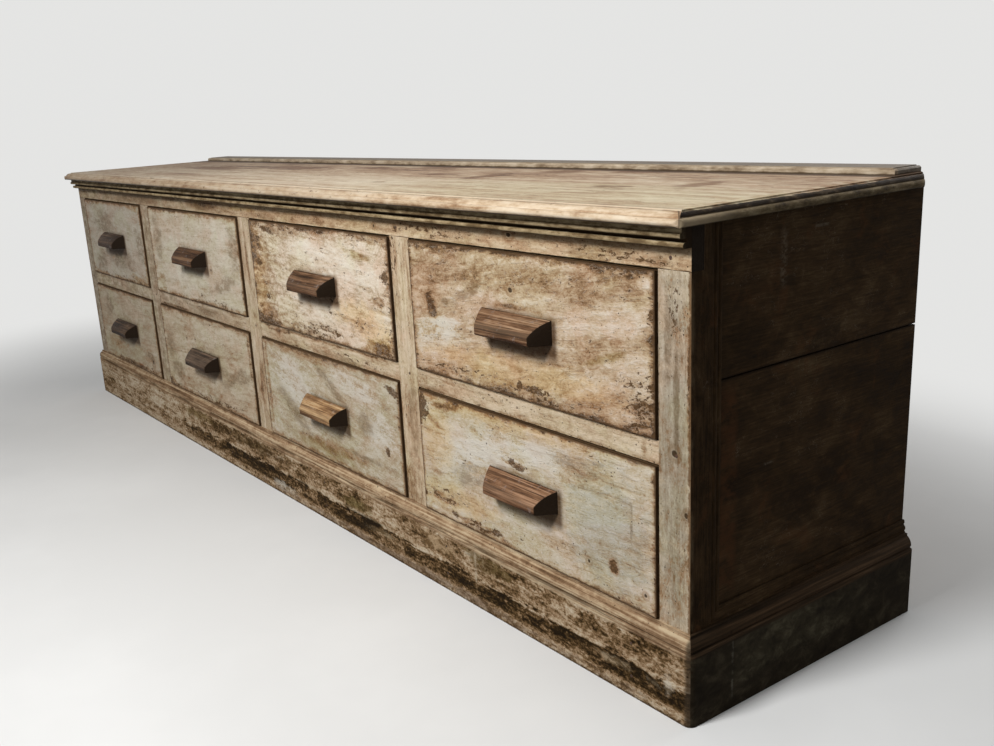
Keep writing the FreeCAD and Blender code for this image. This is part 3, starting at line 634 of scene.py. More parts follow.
def nosing_finish():
    """Front nosing: the top's colour to the step, then a pale cream face; painted shade to the left, at
    its foot and under it.
    """
    f = Finish("nosing_cream", 71)
    top_layers(f)
    top = f.colour
    streaks = f.noise((3.4, 110, 110), 6, 0.64)
    mottle = f.noise((24, 60, 60), 8, 0.7)
    broad = f.noise((2.6, 8, 8), 3, 0.5)
    wear = 0.60 + f.swing(broad, 1.3) + f.swing(mottle, 1.9) + f.swing(streaks, 1.4)
    f.colour = f.ramp(wear, (0.0, worn_brown), (0.22, (0.30, 0.185, 0.10)), (0.42, (0.44, 0.32, 0.205)),
                      (0.62, (0.55, 0.43, 0.30)), (0.9, (0.63, 0.53, 0.40)))
    # Painted shade: left and further darken the face towards the left end; left also adds flaking there
    left = f.fade(f.x + f.swing(broad, 0.5), 1.0, 0.1)
    f.wash((0.70, 0.66, 0.62), left * 0.9)
    further = f.fade(f.x + f.swing(broad, 0.6), 0.1, -1.0)
    f.wash((0.82, 0.80, 0.77), further * 0.5)
    on_top = f.fade(f.z + f.swing(mottle, 0.0012), nosing_step_z, nosing_step_z + 0.001)
    f.lay(top, on_top)
    arris = on_top * f.fade(f.y + f.swing(mottle, 0.003), face_y - 0.0125, face_y - 0.0148)
    f.lay((0.74, 0.62, 0.46), arris * 0.65)
    groove = (1 - on_top) * f.fade(f.y, face_y - 0.0205, face_y - 0.0172)
    f.lay((0.10, 0.058, 0.03), groove * f.fade(mottle, 0.32, 0.46) * 0.95)
    reach = f.y + abs(f.x) + f.swing(mottle, 0.002)
    mitre = f.fade(abs(reach - (face_y + nosing_mitre_x)), 0.0022, 0.0006)
    f.lay(grime_and_shade, mitre * (1 - on_top) * 0.85)
    # Painted shade: brown where the face turns under at its foot
    low = f.fade(f.z + f.swing(mottle, 0.004), case_top_z + 0.0045, case_top_z + 0.0005)
    f.lay((0.12, 0.075, 0.042), low * 0.85)
    flake = f.noise((60, 90, 90), 9, 0.72) + left * 0.04
    bare = f.fade(flake, 0.64, 0.68)
    f.lay(worn_brown, bare * 0.85)
    # Painted shade: black underneath
    f.lay(soot_and_shade, f.facing("Z", -1) * 0.8)
    height = mottle * 0.8 + streaks * 0.6 - bare * 0.4
    return f.done(0.45 + mottle * 0.25, height, 0.9, 0.2)


def side_nosing_finish():
    """Side nosing: pale on its top arris, painted shade near-black on the slope and under it, an
    olive-grey worn bead below.
    """
    f = Finish("side_nosing_paint", 83)
    roughness, height = top_layers(f)
    top = f.colour
    mottle = f.noise((60, 26, 60), 8, 0.7)
    level = f.z + f.swing(mottle, 0.005)
    bead = f.ramp(mottle, (0.36, (0.03, 0.02, 0.011)), (0.5, (0.12, 0.088, 0.048)),
                  (0.62, (0.24, 0.19, 0.115)))
    corner = f.fade(f.y + f.swing(mottle, 0.05), -0.13, -0.26)
    bead = f.tint(corner * 0.7, bead, (0.42, 0.33, 0.215))
    # Painted shade: the sloped face is near-black; the bead below keeps its worn olive-grey
    slope = f.ramp(mottle, (0.4, (0.010, 0.006, 0.004)), (0.55, (0.028, 0.018, 0.010)),
                   (0.66, (0.10, 0.07, 0.04)))
    f.colour = f.tint(f.fade(level, case_top_z + 0.0125, case_top_z + 0.0105), slope, bead)
    f.lay(top, f.fade(level, case_top_z + 0.0172, case_top_z + 0.0186))
    # Painted shade: black underneath
    f.lay(soot_and_shade, f.facing("Z", -1) * 0.85)
    return f.done(roughness, height + mottle * 0.6, 0.9, dark_gloss)


def cornice_finish():
    """Olive-brown cream beads under the nosing, darkened by dirt and painted shade; painted black shade
    between, below and on the ends.
    """
    f = Finish("cornice_paint", 97)
    streaks = f.noise((5, 170, 170), 6, 0.64)
    mottle = f.noise((34, 80, 80), 8, 0.7)
    tone = 0.5 + f.swing(mottle, 1.3) + f.swing(streaks, 1.0)
    # The beads' paint is dirty and also darkened as painted shade under the nosing
    bead = f.ramp(tone, (0.1, (0.03, 0.019, 0.01)), (0.4, (0.15, 0.10, 0.05)), (0.6, (0.33, 0.25, 0.143)),
                  (0.85, (0.48, 0.385, 0.25)))
    # Painted shade: forward is 1 on the beads; the recesses between and above them are near-black
    forward = f.fade(face_y - f.y, 0.0085, 0.0135)
    f.colour = f.tint(forward, (0.05, 0.028, 0.013), bead)
    # Painted shade: black underneath and on the ends
    f.lay(soot_and_shade, f.most(f.facing("Z", -1), f.ends()) * 0.85)
    height = mottle * 0.7 + streaks * 0.6
    return f.done(0.5 + mottle * 0.3, height, 0.9, dark_gloss)


# Stains and worn places on the front plinth: place, half length and half height in millimetres, colour
plinth_marks = (
    (-440, 90, 80, 16, (0.20, 0.14, 0.05)), (-100, 88, 220, 14, (0.11, 0.07, 0.028)),
    (50, 22, 50, 10, (0.66, 0.60, 0.50)), (400, 75, 50, 14, (0.22, 0.17, 0.07)),
    (680, 85, 60, 16, (0.48, 0.34, 0.20)), (840, 92, 60, 20, (0.14, 0.095, 0.036)),
    (1262, 52, 12, 18, (0.60, 0.54, 0.44)), (1235, 44, 16, 8, (0.50, 0.44, 0.34)),
    (500, 42, 50, 6, (0.42, 0.33, 0.21)), (1150, 43, 40, 7, (0.40, 0.31, 0.20)),
    (350, 59.5, 300, 2.5, (0.55, 0.46, 0.33)),
    (808, 70, 3, 30, (0.46, 0.38, 0.27)), (600, 10, 600, 8, (0.24, 0.175, 0.125)))


def plinth_finish():
    """Front plinth: lined tan moulding, rubbed cream and brown face, black speckled band below."""
    f = Finish("plinth_paint", 113)
    streaks = f.noise((3.2, 190, 190), 6, 0.66)
    mottle = f.noise((34, 50, 70), 9, 0.72, 0.4)
    coarse = f.noise((5, 9, 15), 5, 0.62, 0.6)
    speckle = f.noise((130, 130, 190), 6, 0.74)
    strokes = f.noise((9, 120, 120), 6, 0.68)
    level = f.z + f.swing(coarse, 0.022) + f.swing(mottle, 0.035) + f.swing(strokes, 0.03)
    right = f.fade(f.x + f.swing(coarse, 0.6), -0.75, -0.25)
    gaps = f.fade(f.noise((5, 5, 9), 5, 0.6), 0.38, 0.5)
    band = f.band(level, 0.025, 0.051, 0.008) * (0.3 + right * 0.7) * (0.45 + gaps * 0.6)
    upper = f.band(level, 0.070, 0.100, 0.012) * right * f.fade(f.noise((4, 6, 9), 4, 0.5), 0.42, 0.56)
    tone = (0.60 + f.swing(coarse, 0.8) + f.swing(mottle, 1.5) + f.swing(speckle, 1.5)
            + f.swing(strokes, 1.0))
    tone -= band * 0.385 + upper * 0.19 + right * 0.075
    f.colour = f.ramp(tone, (0.0, (0.014, 0.008, 0.003)), (0.16, (0.044, 0.025, 0.009)),
                      (0.30, (0.12, 0.069, 0.028)), (0.46, (0.28, 0.176, 0.093)),
                      (0.62, (0.45, 0.33, 0.21)), (0.88, (0.61, 0.515, 0.385)))
    for *row, colour in plinth_marks:
        stain = f.patch(*sized(*row), 4.0)
        f.lay(f.shade(f.fade(mottle, 0.56, 0.44), colour, (0.4, 0.33, 0.25)), stain * 0.68)
    lined = 0.52 + f.swing(streaks, 1.7) + f.swing(mottle, 0.9) + f.swing(coarse, 0.5)
    mould = f.ramp(lined, (0.1, (0.07, 0.04, 0.02)), (0.38, (0.22, 0.13, 0.07)),
                   (0.55, (0.38, 0.26, 0.155)), (0.75, (0.55, 0.43, 0.28)))
    mould = f.tint(f.band(f.z, plinth_groove_z, plinth_groove_z + 0.0032, 0.0012)
                   * f.fade(strokes, 0.62, 0.42) * 0.75, mould, grime_and_shade)
    f.lay(mould, f.fade(f.z + f.swing(mottle, 0.008), plinth_face_top_z, plinth_face_top_z + 0.004))
    left = f.fade(f.x, 0.1, -0.8)
    f.wash((0.84, 0.84, 0.82), left * 0.35)
    foot = f.fade(f.z + f.swing(speckle, 0.01), 0.006, 0.001)
    f.lay(grime_and_shade, foot * 0.85)
    corner = f.fade(abs(f.x) + f.swing(mottle, 0.012), plinth_corner_x, plinth_corner_x + 0.008)
    f.lay((0.05, 0.035, 0.022), corner * 0.8)
    specks = f.most(f.dots(80, 0.18, 0.3), f.dots(200, 0.24, 0.3))
    f.lay(soot_and_shade, specks * 0.8)
    height = tone * 1.6 + streaks * 0.7 + speckle * 0.6
    return f.done(0.55 + speckle * 0.3, height, 0.9, dark_gloss)


def side_plinth_finish():
    """Side plinths: dark, with a paler grey-green worn patch."""
    f = Finish("side_plinth_paint", 131)
    mottle = f.noise((40, 26, 40), 8, 0.7, 0.4)
    broad = f.noise((6, 6, 12), 4, 0.6, 0.5)
    streaks = f.noise((60, 4, 150), 5, 0.64)
    dark = f.ramp(mottle, (0.36, (0.010, 0.007, 0.004)), (0.52, (0.024, 0.018, 0.011)),
                  (0.66, (0.055, 0.044, 0.028)))
    worn = f.ramp(mottle, (0.34, (0.015, 0.011, 0.007)), (0.5, (0.044, 0.036, 0.022)),
                  (0.66, (0.105, 0.09, 0.058)))
    level = f.z + f.swing(broad, 0.06) + f.swing(mottle, 0.03)
    reach = f.y + f.swing(broad, 0.2)
    pale = f.fade(reach, -0.17, -0.13) * f.fade(reach, 0.2, 0.0) * f.band(level, 0.045, 0.10, 0.014)
    f.colour = f.tint(pale * 0.85, dark, worn)
    line = f.fade(abs(f.y - plinth_scratch_y + f.swing(mottle, 0.006)), 0.003, 0.001)
    line *= f.band(f.z, 0.03, 0.11, 0.02)
    f.lay((0.15, 0.14, 0.11), line * f.fade(mottle, 0.44, 0.6) * 0.5)
    mould = f.ramp(streaks, (0.38, (0.014, 0.009, 0.005)), (0.54, (0.04, 0.024, 0.013)),
                   (0.7, (0.10, 0.06, 0.033)))
    f.lay(mould, f.fade(f.z, plinth_face_top_z + 0.001, plinth_face_top_z + 0.005))
    f.lay(soot_and_shade, f.dots(70, 0.18, 0.25) * 0.8)
    height = mottle + broad * 0.5
    return f.done(0.55 + mottle * 0.3, height, 0.9, dark_gloss)


def bare_finish(name, along, seed, light, dark, dirt, boards=0):
    """Bare pine of the drawer boxes and the carcass, dusty and darkened.

    boards is the number of boards side by side along X on the back."""
    f = Finish(name, seed)
    wood, wood_height = pine(f, along, light, dark)
    stain = f.noise(across(along, 11, 2.4), 6, 0.62, 0.2)
    f.colour = f.shade(f.fade(stain, 0.40, 0.68) * dirt, wood, (0.52, 0.44, 0.36))
    dust = f.noise(across(along, 60, 20), 6, 0.7)
    f.lay((0.36, 0.31, 0.25), f.fade(dust, 0.52, 0.66) * 0.2)
    f.lay(grime_and_shade, f.most(f.dots(90, 0.14, 0.15), f.dots(34, 0.10, 0.12)) * 0.75)
    if boards:
        low, high = (corner.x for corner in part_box("back_boards"))
        width = (high - low) / boards
        place = f.x - low
        side = f.calc("PINGPONG", place, width / 2)
        f.lay(grime_and_shade, f.fade(abs(side) + f.swing(dust, 0.002), 0.0026, 0.0010) * 0.85)
        tone = f.calc("FRACT", f.calc("FLOOR", place / width) * 0.618)
        f.wash((0.62, 0.60, 0.58), tone * 0.5)
        middle = side - width / 4
        for level in back_nail_levels:
            away = f.calc("SQRT", middle * middle + (f.z - level) ** 2.0)
            f.wash((0.6, 0.45, 0.35), f.fade(away + f.swing(dust, 0.012), 0.010, 0.003))
            f.lay(grime_and_shade, f.fade(away, 0.0036, 0.0026))
    return f.done(0.75, wood_height, 0.8, 0.2)


def pull_finish(name, seed, dark, middle, light):
    """Worn brown hardwood of one finger pull, grain along it; painted shade on its lower part, black
    painted shade on ends and underside.
    """
    f = Finish(name + "_wood", seed)
    low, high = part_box(name + "_pull")
    grain = f.noise((5, 170, 230), 5, 0.62, 0.5)
    pores = f.noise((46, 1100, 1100), 2, 0.6)
    broad = f.noise((9, 30, 36), 4, 0.6, 0.6)
    tone = 0.46 + f.swing(grain, 2.0) + f.swing(broad, 1.1) + f.swing(pores, 0.6)
    f.colour = f.ramp(tone, (0.1, tuple(value * 0.35 for value in dark)), (0.36, dark), (0.56, middle),
                      (0.82, light))
    lines = f.fade(f.noise((7, 420, 520), 3, 0.6), 0.54, 0.66)
    f.lay(tuple(value * 0.25 for value in dark), lines * 0.75)
    # Painted shade: darker towards the bottom, where the nose turns under
    under = f.fade(f.z + f.swing(grain, 0.02), low.z + 0.024, low.z + 0.003)
    f.wash((0.50, 0.40, 0.33), under * 0.7)
    nose = f.fade(f.y + f.swing(broad, 0.012), low.y + 0.007, low.y + 0.001)
    f.lay(light, nose * (1 - under) * 0.45)
    dabs = f.fade(f.noise(60, 6, 0.7), 0.58, 0.66) * 0.5
    f.lay(tuple(0.5 * value + 0.14 for value in middle), dabs)
    end = f.least(f.x - low.x, high.x - f.x)
    f.lay(light, f.fade(end, 0.003, 0.001) * 0.35)
    # Painted shade: black ends
    f.lay(soot_and_shade, f.ends())
    # Painted shade: black along the foot against the front, and underneath
    foot = f.fade(f.y + f.swing(broad, 0.004), high.y - 0.0025, high.y - 0.0008)
    f.lay(soot_and_shade, f.most(foot, f.facing("Z", -1)) * 0.97)
    height = grain * 0.8 - lines * 0.4 - pores * 0.2 + broad * 0.4
    return f.done(0.45 + grain * 0.25, height, 0.85, 0.07)


def iron_finish():
    """Rusty iron of nail heads."""
    f = Finish("rusty_iron", 151)
    rust = f.noise(700, 4, 0.6)
    f.colour = f.ramp(rust, (0.4, (0.020, 0.014, 0.010)), (0.6, (0.09, 0.036, 0.016)))
    return f.done(0.65, rust * 0.1, 0.8, 0.4)


def dress(node, material):
    """Give a CAD node its finish and nothing else."""
    mesh = nodes[node].data
    mesh.materials.clear()
    mesh.materials.append(material)


def soften(node, width, segments=2):
    """Ease a CAD node's edges with modifiers."""
    piece = nodes[node]
    weld = piece.modifiers.new("weld", "WELD")
    weld.merge_threshold = 0.01 * millimetre
    flat = piece.modifiers.new("flat", "DECIMATE")
    flat.decimate_type = "DISSOLVE"
    flat.angle_limit = math.radians(0.5)
    ease = piece.modifiers.new("ease", "BEVEL")
    ease.width = width
    ease.segments = segments
    ease.limit_method = "ANGLE"
    ease.angle_limit = math.radians(35)
    ease.harden_normals = False


# Stage: pale floor, soft light and the photograph's camera
photo_width = 994
camera_place = Vector((2.1785, face_y - 0.9828, 0.864))
camera_heading = math.radians(-55.81)
camera_dip = math.radians(16.21)
camera_roll = math.radians(-3.67)
camera_focal_pixels = 1042.2
camera_shift_pixels = (49.6, 32.0)


def build_camera():
    """The camera at the photograph's place, turn and lens."""
    data = bpy.data.cameras.new("photo_camera")
    camera = bpy.data.objects.new("photo_camera", data)
    bpy.context.scene.collection.objects.link(camera)
    bpy.context.scene.camera = camera
    data.sensor_width = 36
    data.lens = data.sensor_width * camera_focal_pixels / photo_width
    data.shift_x = camera_shift_pixels[0] / photo_width
    data.shift_y = camera_shift_pixels[1] / photo_width
    data.clip_start = 0.02
    data.clip_end = 100
    ahead = Vector((math.sin(camera_heading) * math.cos(camera_dip),
                    math.cos(camera_heading) * math.cos(camera_dip), -math.sin(camera_dip)))
    level = Vector((math.cos(camera_heading), -math.sin(camera_heading), 0))
    upright = level.cross(ahead)
    right = math.cos(camera_roll) * level + math.sin(camera_roll) * upright
    up = math.cos(camera_roll) * upright - math.sin(camera_roll) * level
    turn = Matrix((right, up, -ahead)).transposed()
    camera.matrix_world = Matrix.Translation(camera_place) @ turn.to_4x4()


def build_lamp(name, place, target, size, watts):
    """A soft square lamp aimed at a point."""
    data = bpy.data.lights.new(name, "AREA")
    data.size = size
    data.energy = watts
    lamp = bpy.data.objects.new(name, data)
    bpy.context.scene.collection.objects.link(lamp)
    lamp.location = place
    lamp.rotation_euler = (Vector(target) - Vector(place)).to_track_quat("-Z", "Y").to_euler()


def build_world(level, backdrop):
    """Even light from all round, and a pale backdrop for the camera and for glossy rays."""
    world = bpy.data.worlds.new("soft_room")
    bpy.context.scene.world = world
    world.use_nodes = True
    tree = world.node_tree
    light = tree.nodes["Background"]
    light.inputs["Color"].default_value = (1, 1, 1, 1)
    light.inputs["Strength"].default_value = level
    seen = tree.nodes.new("ShaderNodeBackground")
    seen.inputs["Color"].default_value = (*backdrop, 1)
    rays = tree.nodes.new("ShaderNodeLightPath")
    seeing = rays.outputs["Is Camera Ray"]
    for kind in ("Is Glossy Ray", "Is Transmission Ray"):
        either = tree.nodes.new("ShaderNodeMath")
        either.operation = "MAXIMUM"
        tree.links.new(seeing, either.inputs[0])
        tree.links.new(rays.outputs[kind], either.inputs[1])
        seeing = either.outputs[0]
    mix = tree.nodes.new("ShaderNodeMixShader")
    tree.links.new(seeing, mix.inputs[0])
    tree.links.new(light.outputs[0], mix.inputs[1])
    tree.links.new(seen.outputs[0], mix.inputs[2])
    tree.links.new(mix.outputs[0], tree.nodes["World Output"].inputs["Surface"])


def build_floor(backdrop):
    """A plain pale floor that meets the backdrop without a line."""
    bpy.ops.object.select_all(action="DESELECT")
    bpy.ops.mesh.primitive_plane_add(size=80, location=(0, 0, ground_z - 0.2 * millimetre))
    floor = bpy.context.object
    floor.name = "floor"
    f = Finish("pale_floor", 5)
    cloud = f.noise(1.6, 4, 0.6)
    pale = f.tint(f.fade(cloud, 0.35, 0.65), (0.70, 0.70, 0.69), (0.74, 0.74, 0.73))
    rays = f.node("LightPath", {})
    seen = f.most(rays["Is Camera Ray"], rays["Is Glossy Ray"], rays["Is Transmission Ray"])
    f.colour = f.tint(seen, (0.24, 0.24, 0.24), pale)
    material = f.done(0.9, specular=0.1)
    tree = material.node_tree
    far = tree.nodes.new("ShaderNodeEmission")
    far.inputs["Color"].default_value = (*backdrop, 1)
    reach = f.fade(f.calc("SQRT", (f.x * 0.6) ** 2.0 + f.y ** 2.0), 0.9, 1.75)
    mix = tree.nodes.new("ShaderNodeMixShader")
    f.feed(mix.inputs[0], reach * seen)
    tree.links.new(f.shader.outputs[0], mix.inputs[1])
    tree.links.new(far.outputs[0], mix.inputs[2])
    tree.links.new(mix.outputs[0], tree.nodes["Material Output"].inputs["Surface"])
    floor.data.materials.append(material)


backdrop = (0.78, 0.78, 0.77)
build_camera()
build_world(0.25, backdrop)
build_lamp("key_lamp", (0.95, -2.1, 2.3), (0.45, -0.15, 0.4), 0.65, 81)
build_lamp("fill_lamp", (2.9, -2.6, 1.5), (0.9, 0, 0.35), 1.6, 5)
build_lamp("back_lamp", (0.9, 2.7, 1.9), (0.0, 0.2, 0.4), 1.8, 30)
build_floor(backdrop)
bpy.context.scene.view_settings.view_transform = "Standard"

# Finishes on the drawers. A row of a mark is its place from the middle of the front, its half length and
# half height, and its lean if it has one
fronts = {
    "upper_drawer_4": dict(
        seed=3, depth=1.0, cover=-0.01, chipping=0.0, rim=0.02, lean=9,
        tones=((0.45, 0.33, 0.21), (0.55, 0.43, 0.305), (0.66, 0.58, 0.48)), marks=dict(
            rub=[(-201, 78, 100, 40, 12), (-241, 18, 35, 40), (-2, 73, 120, 26, 6), (197, 83, 90, 30, 10),
                 (187, -10, 100, 14, 17), (-72, -97, 200, 12)],
            worn=[(266, -86, 22, 30), (-2, 31, 60, 5), (-231, 8, 12, 30, 20)],
            milk=[(-221, -35, 90, 28, 8)], pale=[(197, 33, 110, 22, 8), (281, 89, 13, 13)],
            knot=[(-10, 57, 5, 4)], bare=[(4, -93, 6, 8), (43, -94, 30, 6)],
            chips=[(-72, -97, 200, 11), (257, -71, 40, 50)], spots=[(191, 86, 50, 20)],
            warm=[(-12, -74, 250, 30)], olive=[(198, -18, 50, 6, 20)],
            smudge=[(-131, 38, 60, 9, 22), (-188, 17, 12, 8)])),
    "lower_drawer_4": dict(
        seed=17, depth=0.72, cover=0.03, chipping=-0.02, rim=0.012, lean=2,
        tones=((0.47, 0.37, 0.24), (0.56, 0.48, 0.36), (0.66, 0.60, 0.52)), marks=dict(
            warm=[(-72, 108, 220, 18), (-241, 38, 50, 60), (-191, -71, 120, 30)],
            milk=[(-112, 28, 150, 50, 10), (67, 73, 120, 22, 5)], grey=[(197, -11, 90, 90)],
            bare=[(-283, 83, 18, 22), (-194, -101, 12, 6), (-77, -98, 12, 7), (-27, 41, 8, 7),
                  (-7, 35, 12, 4), (208, -63, 8, 9)],
            worn=[(-251, 66, 30, 8, -20), (-201, 100, 40, 7, 8), (-231, -78, 50, 10), (-17, 39, 30, 5),
                  (-151, -101, 90, 6)],
            spots=[(-171, -51, 90, 25)], rub=[(-211, 98, 50, 8), (132, 60, 50, 12, 5)],
            chips=[(-17, 38, 40, 12), (-231, -71, 80, 22), (-131, -99, 100, 10)],
            smudge=[(127, 78, 50, 12, 5), (-141, -16, 50, 22, 10), (245, 19, 3, 30)],
            rust=[(208, -63, 10, 12)], knot=[(154, -72, 3, 3), (272, -86, 3, 3)])),
    "upper_drawer_3": dict(
        seed=29, depth=0.95, cover=0.04, chipping=0.01, rim=0.04, lean=-3,
        tones=((0.48, 0.37, 0.25), (0.66, 0.55, 0.42), (0.76, 0.68, 0.57)), marks=dict(
            worn=[(-274, 63, 30, 55), (-245, -101, 70, 22, -12), (-11, 112, 70, 8), (248, -7, 20, 12),
                  (243, -98, 50, 14), (298, -42, 10, 90)],
            rub=[(-235, -22, 50, 90), (193, 72, 50, 8, -5)],
            bare=[(-274, -104, 50, 9, -6), (-205, 98, 40, 6, -10), (273, 41, 14, 10), (-255, 23, 11, 9),
                  (-225, -51, 10, 8)],
            chips=[(282, 69, 20, 12), (14, -96, 100, 16)],
            olive=[(193, 72, 50, 8, -5), (233, -96, 50, 14)],
            warm=[(243, -81, 70, 40), (174, -45, 90, 30), (-274, -22, 50, 120)],
            pale=[(161, 40, 110, 50), (4, 68, 100, 30)], spots=[(-195, -12, 90, 100)])),
    "lower_drawer_3": dict(
        seed=43, depth=0.7, cover=0.0, chipping=-0.02, rim=0.015, lean=-6,
        tones=((0.40, 0.32, 0.21), (0.50, 0.43, 0.32), (0.60, 0.56, 0.48)), marks=dict(
            milk=[(-135, 28, 120, 60, -25), (124, 73, 100, 22, -10), (223, -1, 60, 40)],
            bare=[(273, 88, 22, 8, -20), (238, -38, 7, 9)], chips=[(273, 86, 30, 14)],
            spots=[(-225, -51, 50, 50)],
            smudge=[(143, -71, 60, 6), (160, 3, 35, 20), (-155, -31, 90, 20, -30), (24, 58, 80, 12, -30)],
            worn=[(-274, 9, 7, 100)], rub=[(24, -81, 140, 14), (-75, 103, 150, 10)],
            olive=[(-26, -91, 150, 14)])),
    "upper_drawer_2": dict(
        seed=59, depth=0.85, cover=0.06, chipping=-0.02, rim=0.022, lean=3,
        tones=((0.46, 0.38, 0.27), (0.54, 0.465, 0.355), (0.62, 0.56, 0.46)), marks=dict(
            worn=[(-139, 114, 140, 5)], pale=[(163, 68, 80, 30), (-69, -2, 130, 70)],
            smudge=[(180, -51, 90, 20, 20), (-238, 38, 30, 60), (259, 38, 30, 50)],
            rub=[(-238, -81, 40, 20)], chips=[(30, -101, 200, 12)], knot=[(110, -22, 4, 4)])),
    "lower_drawer_2": dict(
        seed=67, depth=0.95, cover=0.02, chipping=-0.01, rim=0.022, lean=5,
        tones=((0.41, 0.325, 0.22), (0.49, 0.405, 0.29), (0.57, 0.50, 0.39)), marks=dict(
            smudge=[(-248, 9, 30, 50), (-208, -61, 50, 30), (170, -21, 90, 16, 25), (44, -96, 20, 8),
                    (100, -11, 50, 14, -10), (229, -11, 40, 20, 10)],
            knot=[(-119, 43, 3, 3), (-59, 48, 3, 3)], worn=[(-268, -101, 20, 10), (279, 48, 6, 50)],
            pale=[(80, 78, 140, 30)], rub=[(-69, -81, 150, 18)], chips=[(30, -101, 200, 10)])),
    "upper_drawer_1": dict(
        seed=71, depth=0.8, cover=0.03, chipping=-0.03, rim=0.022, lean=-4,
        tones=((0.38, 0.32, 0.245), (0.44, 0.385, 0.305), (0.52, 0.47, 0.39)), marks=dict(
            smudge=[(-84, 48, 80, 40), (45, -51, 100, 30), (-154, -71, 50, 30, 20), (215, -2, 30, 50)],
            rub=[(195, -101, 70, 12)], chips=[(45, -101, 200, 10)])),
    "lower_drawer_1": dict(
        seed=79, depth=0.9, cover=0.0, chipping=-0.02, rim=0.022, lean=4,
        tones=((0.36, 0.29, 0.20), (0.43, 0.36, 0.26), (0.52, 0.45, 0.35)), marks=dict(
            pale=[(145, 68, 30, 80, -20), (65, 19, 120, 12, 35)], rust=[(81, -102, 20, 6)],
            knot=[(193, -77, 6, 8)], worn=[(35, -104, 130, 7)], rub=[(-104, -51, 80, 50)],
            smudge=[(175, -61, 40, 12), (-154, 58, 40, 30)], chips=[(45, -101, 200, 10)])),
}
pull_tones = {
    "upper_drawer_4": ((0.085, 0.042, 0.021), (0.185, 0.10, 0.053), (0.31, 0.20, 0.12)),
    "lower_drawer_4": ((0.10, 0.05, 0.026), (0.21, 0.11, 0.058), (0.34, 0.205, 0.125)),
    "upper_drawer_3": ((0.07, 0.035, 0.017), (0.145, 0.077, 0.040), (0.26, 0.155, 0.092)),
    "lower_drawer_3": ((0.20, 0.105, 0.048), (0.38, 0.235, 0.115), (0.50, 0.345, 0.19)),
    "upper_drawer_2": ((0.055, 0.026, 0.013), (0.11, 0.057, 0.029), (0.18, 0.105, 0.058)),
    "lower_drawer_2": ((0.05, 0.032, 0.021), (0.09, 0.06, 0.039), (0.15, 0.10, 0.068)),
    "upper_drawer_1": ((0.034, 0.02, 0.013), (0.068, 0.042, 0.027), (0.115, 0.075, 0.05)),
    "lower_drawer_1": ((0.034, 0.02, 0.012), (0.068, 0.04, 0.024), (0.115, 0.072, 0.043)),
}

box_pine = bare_finish("drawer_pine", "Y", 7, (0.50, 0.34, 0.19), (0.30, 0.18, 0.09), 0.5)
bottom_pine = bare_finish("drawer_bottom_pine", "X", 11, (0.52, 0.36, 0.21), (0.36, 0.23, 0.12), 0.4)
for drawer in drawers:
    dress(f"{drawer}_front", front_finish(drawer, **fronts[drawer]))
    dress(f"{drawer}_box", box_pine)
    dress(f"{drawer}_bottom", bottom_pine)
    dress(f"{drawer}_pull", pull_finish(drawer, fronts[drawer]["seed"] + 100, *pull_tones[drawer]))
    soften(f"{drawer}_front", 0.9 * millimetre)
    soften(f"{drawer}_pull", 1.6 * millimetre, 3)

# Marks on the face frame: rows of the same kind, with places from the middle of the cabinet's foot
top_rail_marks = dict(
    worn=[(-270, 662, 100, 10)], olive=[(-50, 660, 80, 6)],
    smudge=[(-270, 655, 100, 10), (-750, 655, 200, 10), (1236, 650, 20, 8)],
    chips=[(1180, 652, 90, 10), (700, 655, 120, 10)],
    knot=[(925, 664, 6, 4), (530, 655, 3, 3), (600, 656, 3, 3)], rub=[(300, 655, 300, 10)])
mid_rail_marks = dict(
    worn=[(1205, 390, 6, 13), (250, 402, 250, 3), (80, 398, 50, 6), (-550, 376, 90, 4)],
    chips=[(920, 394, 70, 8), (450, 385, 100, 8)],
    smudge=[(700, 376, 50, 4), (350, 378, 120, 6), (-300, 388, 100, 12)],
    rub=[(100, 385, 100, 12), (500, 398, 60, 8)], pale=[(420, 394, 60, 8)])
muntin_marks = dict(
    chips=[(600, 620, 20, 60)], smudge=[(620, 300, 15, 80)], rub=[(600, 180, 20, 50), (-40, 250, 20, 80)],
    worn=[(-45, 550, 6, 70)], pale=[(610, 450, 15, 90)])
post_marks = dict(
    knot=[(1262, 395, 5, 5), (1283, 312, 3, 4)], smudge=[(1250, 560, 6, 60), (1265, 480, 5, 80)],
    pale=[(1250, 165, 12, 12)], worn=[(1288, 500, 4, 120)], chips=[(1260, 600, 20, 40)],
    grey=[(1260, 400, 30, 250)])

# The muntins' sides, halfway between the drawer fronts on either side
muntin_width = 0.063
muntin_edges = []
for column in (1, 2, 3):
    left_x = span(f"upper_drawer_{column}_front", 0)[1]
    right_x = span(f"upper_drawer_{column + 1}_front", 0)[0]
    centre = (left_x + right_x) / 2
    muntin_edges.append((centre - muntin_width / 2, centre + muntin_width / 2))

